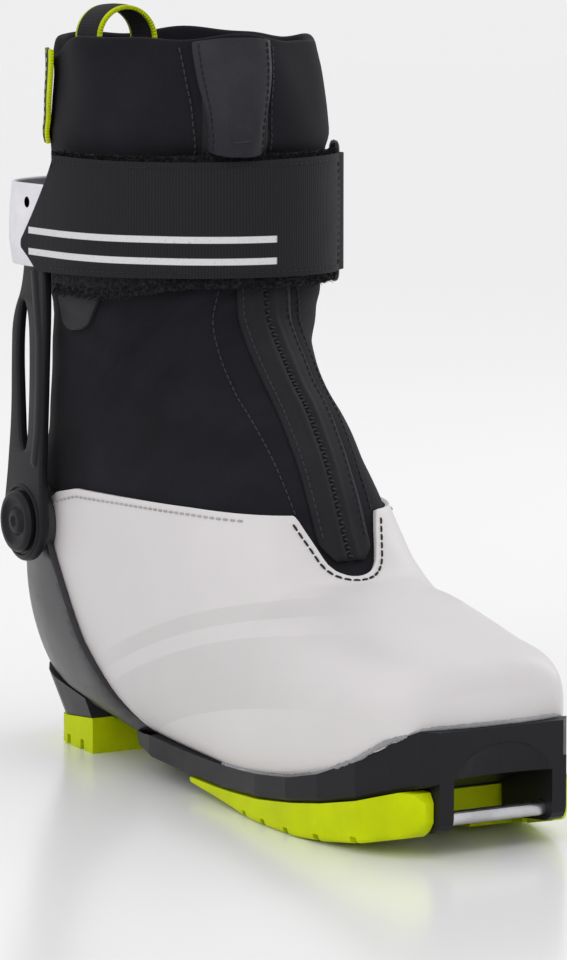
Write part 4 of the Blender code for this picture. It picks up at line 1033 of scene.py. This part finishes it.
for distance in (-8.3, 8.3):
    stitches(seams, *seam_path(lambda s: distance, 8.0, 24.85, 1.55), 2.6, 0.3, 0.7)
SEAM_STOPS = (8.8, 12.0, 16.0, 20.0, 22.4, 23.6, 24.9)
for distances in ((-15.0, -18.5, -17.5, -14.0, -11.8, -13.2, -15.8),
                  (15.0, 16.5, 15.0, 13.0, 12.0, 11.6, 14.6)):
    path, normals = seam_path(lambda s: float(np.interp(s, SEAM_STOPS, distances)), 8.8, 24.9, 0.15)
    stitches(seams, path, normals, 2.6, 0.33, 0.8)
attach(seams.piece("stitching_shaft", THREAD_DARK), "ankle", "softshell")

# ---- strap ---------------------------------------------------------------------------
STRAP_START, STRAP_TIP = -41.0, -205.5
BAND_OUT = 51.0


def strap_point(degrees, z, offset):
    """Point round the front of the leg: 0 medial, -90 the front, -180 lateral, straight back past that."""
    past = max(degrees, -180.0 - degrees)
    if past > 0:
        return np.array((math.copysign(CUFF_A + offset, degrees + 90.0), CUFF_Y + past, z))
    a = math.radians(degrees)
    return np.array(((CUFF_A + offset) * math.cos(a), CUFF_Y + (CUFF_B + offset) * math.sin(a), z))


def over_band(d):
    """Height of the strap's inner face, which climbs over the band on the lateral side."""
    return 4.7 + (BAND_OUT - CUFF_A + 0.4 - 4.7) * float(smooth(-d, 134.0, 157.0))


def outer_heights(d):
    """Lower and upper edge of the outer strap, slanted at its lateral tip and gently bowed."""
    below = max(0.0, (-195.0 - d) / 10.5)
    above = max(0.0, (-181.5 - d) / 24.0)
    bow = math.sin(math.radians((d + 41.0) * 1.6))
    low = STRAP_Z0 + 0.3 + 7.5 * below ** 0.8 - 0.5 * bow
    high = STRAP_Z1 - 31.0 * above ** 0.85 - 0.6 * math.sin(math.radians((d + 20.0) * 2.3))
    return low, max(high, low + 1.5)


def band_strip(name, stops, heights, lift, thickness, look, steps=17, crown=0.0, round_edge=0.3):
    """Strip round the leg; lift(d) is the height of its outer face; u runs along it and v up it."""
    rows, uv, run, last = [], [], 0.0, None
    for d in stops:
        low, high = heights(d)
        zs = np.linspace(low, high, steps)
        mid = (low + high) / 2
        half = max((high - low) / 2, 0.1)
        line = [strap_point(d, z, lift(d) + crown * (1 - ((z - mid) / half) ** 2)) for z in zs]
        if last is not None:
            run += float(np.linalg.norm(line[steps // 2] - last))
        last = line[steps // 2]
        rows.append(line)
        uv.append([(run, z - STRAP_Z0) for z in list(zs) + [zs[-1]]])
    made = outward(grid_piece(name, rows, look, closed=False, uv=uv))
    return settle(thicken(made, thickness, round_edge))


outer_stops = list(np.linspace(STRAP_START, -180.0, 90)) + list(np.linspace(-181.5, STRAP_TIP, 18))
STRAP_THICK = 1.3
strap = band_strip("strap_woven", outer_stops, outer_heights, lambda d: over_band(d) + STRAP_THICK, STRAP_THICK,
                   STRAP, crown=0.25)
attach(strap, "strap", "strap", "strap_outer")


# The ring's front bar, which the strap's end folds round.
STRAP_MID, BAR_REACH, FOLD_RADIUS = 196.0, 6.0, 2.35
ring_at = strap_point(-31.0, STRAP_MID, 4.4)
forward = strap_point(-35.0, STRAP_MID, 4.4) - ring_at
forward /= np.linalg.norm(forward)
sideways = np.cross((0.0, 0.0, 1.0), forward)
sideways *= math.copysign(1.0, sideways[0])
bar_at = ring_at + forward * BAR_REACH
fold_line = [strap_point(STRAP_START, STRAP_MID, over_band(STRAP_START) + 0.65)]
for k in range(13):
    a = math.pi / 2 + math.pi * k / 12
    fold_line.append(bar_at + forward * (FOLD_RADIUS * math.cos(a)) + sideways * FOLD_RADIUS * math.sin(a))
fold_line.append(strap_point(STRAP_START - 1.5, STRAP_MID, 3.1))
low, high = outer_heights(STRAP_START)
fold_zs = list(np.linspace(low, high, 9))
fold = [[(p[0], p[1], z) for z in fold_zs] for p in fold_line]
uv_fold = [[(-float(k), z - STRAP_Z0) for z in fold_zs + [high]] for k in range(len(fold))]
strap_fold = outward(grid_piece("strap_fold", fold, STRAP, closed=False, uv=uv_fold))
settle(thicken(strap_fold, 1.2, 0.2, offset=0.0))
attach(strap_fold, "strap", "strap")

strap_thread = Pile()


def sew_strap(spots, pitch, thread, gap):
    """Stitches on the strap's outer face, through spots of (degrees, z)."""
    line = [strap_point(d, z, over_band(d) + 1.35) for d, z in spots]
    outwards = [strap_point(d, z, 1.0) - strap_point(d, z, 0.0) for d, z in spots]
    stitches(strap_thread, line, outwards, pitch, thread, gap)


for d in (-44.5, -47.0):
    sew_strap([(d, z) for z in np.linspace(178.0, 214.5, 30)], 2.4, 0.26, 0.6)
for edge, inset in ((0, 1.9), (1, -1.9)):
    spots = [(d, outer_heights(d)[edge] + inset) for d in np.linspace(-49.0, -183.0, 110)]
    sew_strap(spots, 2.6, 0.22, 0.7)
attach(strap_thread.piece("stitching_strap", THREAD_BLACK), "strap", "strap")


def base_heights(d):
    """Lower and upper edge of the loop pile layer, a little uneven."""
    fuzz = 0.45 * noise.noise(Vector((d * 0.35, 3.0, 0.0)))
    low = 172.6 - 5.0 * float(smooth(-d, 118.0, 165.0)) + fuzz
    high = 217.6 + 1.1 * float(smooth(-d, 150.0, 95.0)) + 0.5 * noise.noise(Vector((d * 0.4, 9.0, 0.0)))
    return low, high


base_stops = np.linspace(STRAP_START, -190.0, 150)
base_strip = band_strip("strap_loop_pile", base_stops, base_heights, lambda d: 3.75, 1.3, PILE_LOOK, steps=25)
for v in base_strip.data.vertices:
    p = v.co / MM
    v.co += Vector((p.x, p.y - CUFF_Y, 0.0)).normalized() * (0.28 * noise.noise(p * 1.1)) * MM
attach(base_strip, "cuff", "strap", "strap_base")

fuzz = Pile()
rng = np.random.default_rng(7)
for _ in range(1500):
    d = rng.uniform(-189.0, STRAP_START - 2)
    low, high = base_heights(d)
    at_top = rng.random() < 0.45
    z = high - rng.uniform(0.0, 1.6) if at_top else low + rng.uniform(0.0, 4.0)
    lift = 3.6 + rng.uniform(0, 0.25)
    root = strap_point(d, z, lift)
    rise = rng.uniform(0.5, 1.1)
    sway, lean = rng.uniform(-1.0, 1.0) * 0.8, (1 if at_top else -1) * rng.uniform(0.1, 0.9)
    mid = strap_point(d + sway * 0.5, z + lean, lift + rise)
    tip = strap_point(d + sway, z + lean * 0.4, lift + rise * 0.2)
    fuzz.add(tube([root, mid, tip], [0.14, 0.13, 0.1], 3))
attach(fuzz.piece("strap_pile_loops", PILE_LOOK), "cuff", "strap")

tab = band_strip("ring_tab_webbing", np.linspace(-19.5, 8.0, 30), lambda d: (STRAP_Z0 + 1.0, STRAP_Z1 - 3.0),
                 lambda d: 4.1, 1.5, STRAP, steps=9)
attach(tab, "cuff", "strap", "ring_tab")

# ---- cuff band -----------------------------------------------------------------------
BAND_ROWS = ((176.0, 31.0), (185.0, 39.0), (196.0, 36.5), (206.0, 31.0))
BAND_TURN_Y, BAND_WING = 92.0, 19.0


def band_line(z, offset):
    """The band's outline at one height, from one front end round the back to the other."""
    depth = float(np.interp(z, [r[0] for r in BAND_ROWS], [r[1] for r in BAND_ROWS]))
    depth -= 1.2 * math.exp(-((z - 185.0) / 4.0) ** 2)
    half = CUFF_A + offset
    turns = [BAND_WING * share for share in (1.0, 0.66, 0.33, 0.0)]
    front = [strap_point(-180 + d, z, offset) for d in turns]
    other = [strap_point(-d, z, offset) for d in reversed(turns)]
    sides = [np.array((-half, y, z)) for y in (70.0, 77.0, 85.0)]
    back = [np.array((x, y, z)) for x, y in arc((0.0, BAND_TURN_Y), half, 180, 0, 40, depth + offset)]
    return front + sides + back + [np.array((half, y, z)) for y in (85.0, 77.0, 70.0)] + other


band_rows = [band_line(z, BAND_OUT - CUFF_A) for z in np.linspace(176.3, 205.7, 23)]
band = outward(grid_piece("cuff_band_shell", band_rows, BAND, closed=False))
settle(thicken(band, 1.6, 0.5))
attach(band, "cuff", "cuff_white", "cuff_band")

# ---- cuff arms -----------------------------------------------------------------------
def rounded(line, rounds, closed=True):
    """Outline with its corners cut and smoothed; an open one keeps its two ends."""
    line = [np.asarray(p, float) for p in line]
    for _ in range(rounds):
        new = [] if closed else [line[0]]
        for a, b in zip(line, line[1:] + (line[:1] if closed else [])):
            new += [a * 0.75 + b * 0.25, a * 0.25 + b * 0.75]
        line = new if closed else new + [line[-1]]
    return line


def plate(name, outlines, x, thickness, edge, look):
    """Flat plate in side view with holes and rounded edges, standing at x."""
    data = bpy.data.curves.new(name, "CURVE")
    data.dimensions = "2D"
    data.fill_mode = "BOTH"
    data.extrude = (thickness / 2 - edge) * MM
    data.bevel_depth = edge * MM
    data.bevel_resolution = 3
    data.offset = -edge * MM
    for line in outlines:
        spline = data.splines.new("POLY")
        spline.points.add(len(line) - 1)
        spline.use_cyclic_u = True
        for point, (y, z) in zip(spline.points, line):
            point.co = (y * MM, z * MM, 0.0, 1.0)
    temp = add(name + "_curve", data)
    graph = bpy.context.evaluated_depsgraph_get()
    mesh = bpy.data.meshes.new_from_object(temp.evaluated_get(graph))
    bpy.data.objects.remove(temp)
    mesh.transform(Matrix(((0, 0, 1, x * MM), (1, 0, 0, 0), (0, 1, 0, 0), (0, 0, 0, 1))))
    mesh.materials.clear()
    mesh.materials.append(look)
    made = outward(add(name, mesh))
    mesh.shade_smooth()
    mesh.set_sharp_from_angle(angle=math.radians(40))
    return made


arm_outline = (arc((PIVOT_Y, PIVOT_Z), 14.5, 175, 365, 26) + rounded(
    [(108.0, 102.0), (104.8, 122.0), (104.4, 142.0), (103.5, 158.0), (94.0, 171.0), (92.5, 204.0),
     (80.0, 204.0), (79.0, 177.0), (78.6, 162.0), (79.8, 145.0), (81.0, 126.0), (82.8, 102.0)], 3, False))
arm_window = rounded([(93.0, 110.0), (97.5, 110.0), (98.6, 128.0), (99.4, 146.0), (97.5, 160.0),
                      (94.5, 165.0), (91.0, 158.0), (90.6, 145.0), (91.2, 128.0)], 2)
ARM_X, RIB_X, HUB_X = 47.35, 48.85, 49.1
rib_spine = dense([(87.6, 104.0), (84.6, 118.0), (83.4, 134.0), (83.0, 150.0), (84.6, 164.0), (86.2, 176.0)], 1.5)
bore = arc((PIVOT_Y, PIVOT_Z), 4.4, 0, 345, 23)
for side, name in SIDES:
    arm = plate("cuff_arm_moulded_" + name, [arm_outline, arm_window, bore], side * ARM_X, 3.5, 1.1, ARM)
    attach(arm, "cuff", "arm", "cuff_arm_" + name)
    path = [(side * RIB_X, y, z) for y, z in rib_spine]
    points, faces = tube(path, [0.2] + [2.6] * (len(path) - 2) + [0.2], 12)
    points = np.array(points)
    points[:, 0] = side * RIB_X + (points[:, 0] - side * RIB_X) * 0.4
    attach(outward(piece("cuff_arm_rib_" + name, points, faces, ARM)), "cuff", "arm")
    turns = [2 * math.pi * k / 72 for k in range(72)]
    rim = [(side * HUB_X, PIVOT_Y + 12.7 * math.cos(a), PIVOT_Z + 12.7 * math.sin(a)) for a in turns]
    attach(outward(piece("hub_ring_" + name, *tube(rim, 0.65, 8, closed=True), ARM)), "cuff", "arm")

# ---- soft wings between the leg and the arms -----------------------------------------
outline = rounded([(45.0, 183.0), (49.0, 166.0), (58.0, 156.5), (70.0, 154.0), (77.0, 160.0), (78.0, 183.0)], 2)
in_outline = distance_to_outline((SLEEVE + SLEEVE_NORMAL * 1.7).reshape(-1, 3)[:, 1:], outline)
flat = (SLEEVE + SLEEVE_NORMAL * 1.9).reshape(-1, 3)
for side, name in SIDES:
    points, faces = clip(flat, skin_triangles(len(SLEEVE)), np.maximum(in_outline, -side * flat[:, 0]))
    wing = outward(piece("cuff_wing_soft_" + name, points, faces, WING_CLOTH))
    settle(thicken(wing, 1.6, 0.5))
    attach(wing, "cuff", "zip", "cuff_wing_" + name)

# ---- heel loop and back webbing ------------------------------------------------------
LOOP_X, LOOP_HALF, LOOP_TOP = -14.7, 12.0, 268.5
loop_line = [(LOOP_X + LOOP_HALF - 0.8, z) for z in (236.0, 241.0, 246.0, 251.0)]
loop_line += arc((LOOP_X, LOOP_TOP - LOOP_HALF), LOOP_HALF - 0.8, 0, 180, 24)
loop_line += [(LOOP_X - LOOP_HALF + 0.8, z) for z in (251.0, 246.0, 241.0, 236.0)]
across = np.linspace(-1, 1, 9)
loop_rows, loop_uv, run = [], [], 0.0
for k, (x, z) in enumerate(loop_line):
    if k:
        run += math.hypot(x - loop_line[k - 1][0], z - loop_line[k - 1][1])
    lean = 0.04 * (z - 250.0)
    loop_rows.append([(x, 87.0 + 8.8 * t + lean, z - 0.5 * t * t) for t in across])
    loop_uv.append([(10 * t, run) for t in list(across) + [1.0]])
loop = grid_piece("pull_loop_webbing", loop_rows, LOOP_WEBBING, closed=False, uv=loop_uv)
settle(thicken(outward(loop), 1.5, 0.3, offset=0.0))
attach(loop, "cuff", "webbing", "pull_loop")

back_rows, back_uv, run, last = [], [], 0.0, None
for s in np.linspace(22.2, 24.7, 28):
    line = []
    for t in across:
        p, n = on_front(s, -37.2 + 4.3 * t, back=True)
        line.append(p + n * (2.3 + sleeve_lift(p)))
    if last is not None:
        run += float(np.linalg.norm(line[4] - last))
    last = line[4]
    back_rows.append(line)
    back_uv.append([(10 * t, run) for t in list(across) + [1.0]])
back = grid_piece("back_webbing_strip", back_rows, WEBBING, closed=False, uv=back_uv)
settle(thicken(outward(back), 1.3, 0.25))
attach(back, "cuff", "webbing", "back_webbing")

# ---- zip garage, slider and pull -----------------------------------------------------
def garage_half(s):
    """Half width of the garage cover, wider towards the collar's edge."""
    return 8.2 + 4.0 * float(smooth(s, 22.6, 24.9))


def garage_lift(s, t):
    """Low at its edges and proud of the slider in the middle, fuller where the slider comes out below."""
    mouth = 2.3 * (1.0 - float(smooth(s, 22.8, 24.4))) * (1.0 - t ** 4)
    return 2.4 + 2.9 * (1 - t * t) ** 0.7 + 0.35 * math.exp(-((t + 0.35) / 0.16) ** 2) + mouth


def garage_point(s, t, rise=0.0):
    """Point and normal on the garage cover, t from -1 to 1 across it."""
    p, n = on_front(s, drift(s) + garage_half(s) * t)
    return p + n * (garage_lift(s, t) + rise + sleeve_lift(p)), n


garage_rows = [[garage_point(s, t)[0] for t in np.linspace(-1, 1, 21)]
               for s in np.linspace(22.3, 24.97, 52)]
attach(strip_piece("zip_garage_cover", np.array(garage_rows), GARAGE, 0.9), "cuff", "zip", "zip_garage")
garage_thread = Pile()
for t in (-0.86, 0.86):
    spots = [garage_point(s, t, 0.05) for s in np.linspace(22.4, 24.9, 60)]
    stitches(garage_thread, *zip(*spots), 2.4, 0.32, 0.7)
attach(garage_thread.piece("stitching_garage", THREAD_BLACK), "cuff", "zip")

# ---- piping between the vamp and the bumper ------------------------------------------
RIM_LIFT, FRONT_Z, STAND_OFF = 0.4, 42.3, 0.45
side_spots = [(y, float(rim_height(y)) + RIM_LIFT) for y in np.arange(-30.0, -133.0, -1.5)]
left = cast(VAMP_TREE, [(-90.0, y, z) for y, z in side_spots], (1.0, 0.0, 0.0))
front = cast(VAMP_TREE, [(x, -190.0, FRONT_Z) for x in np.arange(-27.0, 25.0, 1.2)], (0.0, 1.0, 0.0))
right = cast(VAMP_TREE, [(90.0, y, z) for y, z in reversed(side_spots)], (-1.0, 0.0, 0.0))
piping_path = np.array(left[0] + front[0] + right[0]) + np.array(left[1] + front[1] + right[1]) * STAND_OFF
for _ in range(3):
    piping_path[1:-1] = (piping_path[:-2] + 2 * piping_path[1:-1] + piping_path[2:]) / 4
piping_path, _ = resample(piping_path, piping_path, 0.8)
size = [0.85 + 0.4 * noise.noise(Vector(p) * 0.9) for p in piping_path]
attach(outward(piece("toe_piping", *tube(piping_path, size, 8), SILVER)), "boot", "vamp")

# ---- carried-over solids: finer edges and their own finishes -------------------------
SMALL_STEEL_NODES = ["pivot_pin_lateral", "pivot_pin_medial", "pivot_washer_lateral", "pivot_washer_medial",
                     "rivet_lateral_upper", "rivet_lateral_lower", "rivet_medial_upper", "rivet_medial_lower"]
DRESS = (
    (CHASSIS, 0.5, ["sole_chassis"]), (LIME, 0.5, ["forefoot_outsole"]), (LIME, 0.6, ["heel_outsole"]),
    (BASE_CUP, 0.0, ["heel_cup_base"]), (STEEL, 0.0, ["toe_bar"]), (FOAM, 0.0, ["insole"]),
    (BOARD, 0.0, ["lasting_board", "toe_puff", "heel_stiffener"]), (COATED, 0.0, ["zip_slider", "zip_pull"]),
    (PILE_LOOK, 0.0, ["hook_patch"]), (ARM, 0.0, ["strap_ring"]), (STEEL_SMALL, 0.0, SMALL_STEEL_NODES),
)
for look, edge, node_names in DRESS:
    for node_name in node_names:
        for place in NODES[node_name].material_slots:
            place.material = look
        if edge:
            soften(NODES[node_name], edge, weld=True)

# ---- stage, camera, lights -----------------------------------------------------------
floor_mesh = bmesh.new()
bmesh.ops.create_grid(floor_mesh, x_segments=2, y_segments=2, size=6.0)
floor_data = bpy.data.meshes.new("studio_floor")
floor_mesh.to_mesh(floor_data)
floor_mesh.free()
floor = add("studio_floor", floor_data)
floor_look = bpy.data.materials.new("studio_floor_paint")
floor_look.use_nodes = True
floor_shader = floor_look.node_tree.nodes["Principled BSDF"]
floor_shader.inputs["Base Color"].default_value = (0.955, 0.955, 0.955, 1.0)
floor_shader.inputs["Roughness"].default_value = 0.2
floor_shader.inputs["Specular IOR Level"].default_value = 0.42
floor_data.materials.append(floor_look)

world = bpy.data.worlds.new("studio_world")
bpy.context.scene.world = world
world.use_nodes = True
sky = world.node_tree.nodes["Background"]
sky.inputs["Color"].default_value = (0.86, 0.86, 0.87, 1.0)
sky.inputs["Strength"].default_value = 1.0
bpy.context.scene.view_settings.view_transform = "Standard"


def area_light(name, place, target, size, power, tall=None):
    """Soft rectangular light at a place, aimed at a target; sizes in metres, power in watts."""
    data = bpy.data.lights.new(name, "AREA")
    data.shape = "RECTANGLE"
    data.size = size
    data.size_y = tall or size
    data.energy = power
    made = add(name, data)
    made.location = place
    made.rotation_euler = (Vector(target) - Vector(place)).to_track_quat("-Z", "Y").to_euler()


area_light("top_soft", (-0.1, -0.2, 1.9), (0.0, 0.0, 0.0), 2.0, 2.4)
area_light("key_left", (-1.5, -0.7, 1.0), (0.0, 0.0, 0.1), 0.7, 4.0)
area_light("right_rim", (1.3, 0.2, 0.7), (0.0, 0.0, 0.12), 0.5, 3.0, 1.0)

camera_data = bpy.data.cameras.new("studio_camera")
camera_data.lens = 175.35
camera_data.sensor_width = 36.0
camera_data.clip_start, camera_data.clip_end = 0.1, 50.0
camera = add("studio_camera", camera_data)
camera.location = (-0.82446, -1.37597, 0.309)
camera.rotation_euler = (math.radians(90 - 7.21), 0.0, math.radians(-31))
bpy.context.scene.camera = camera
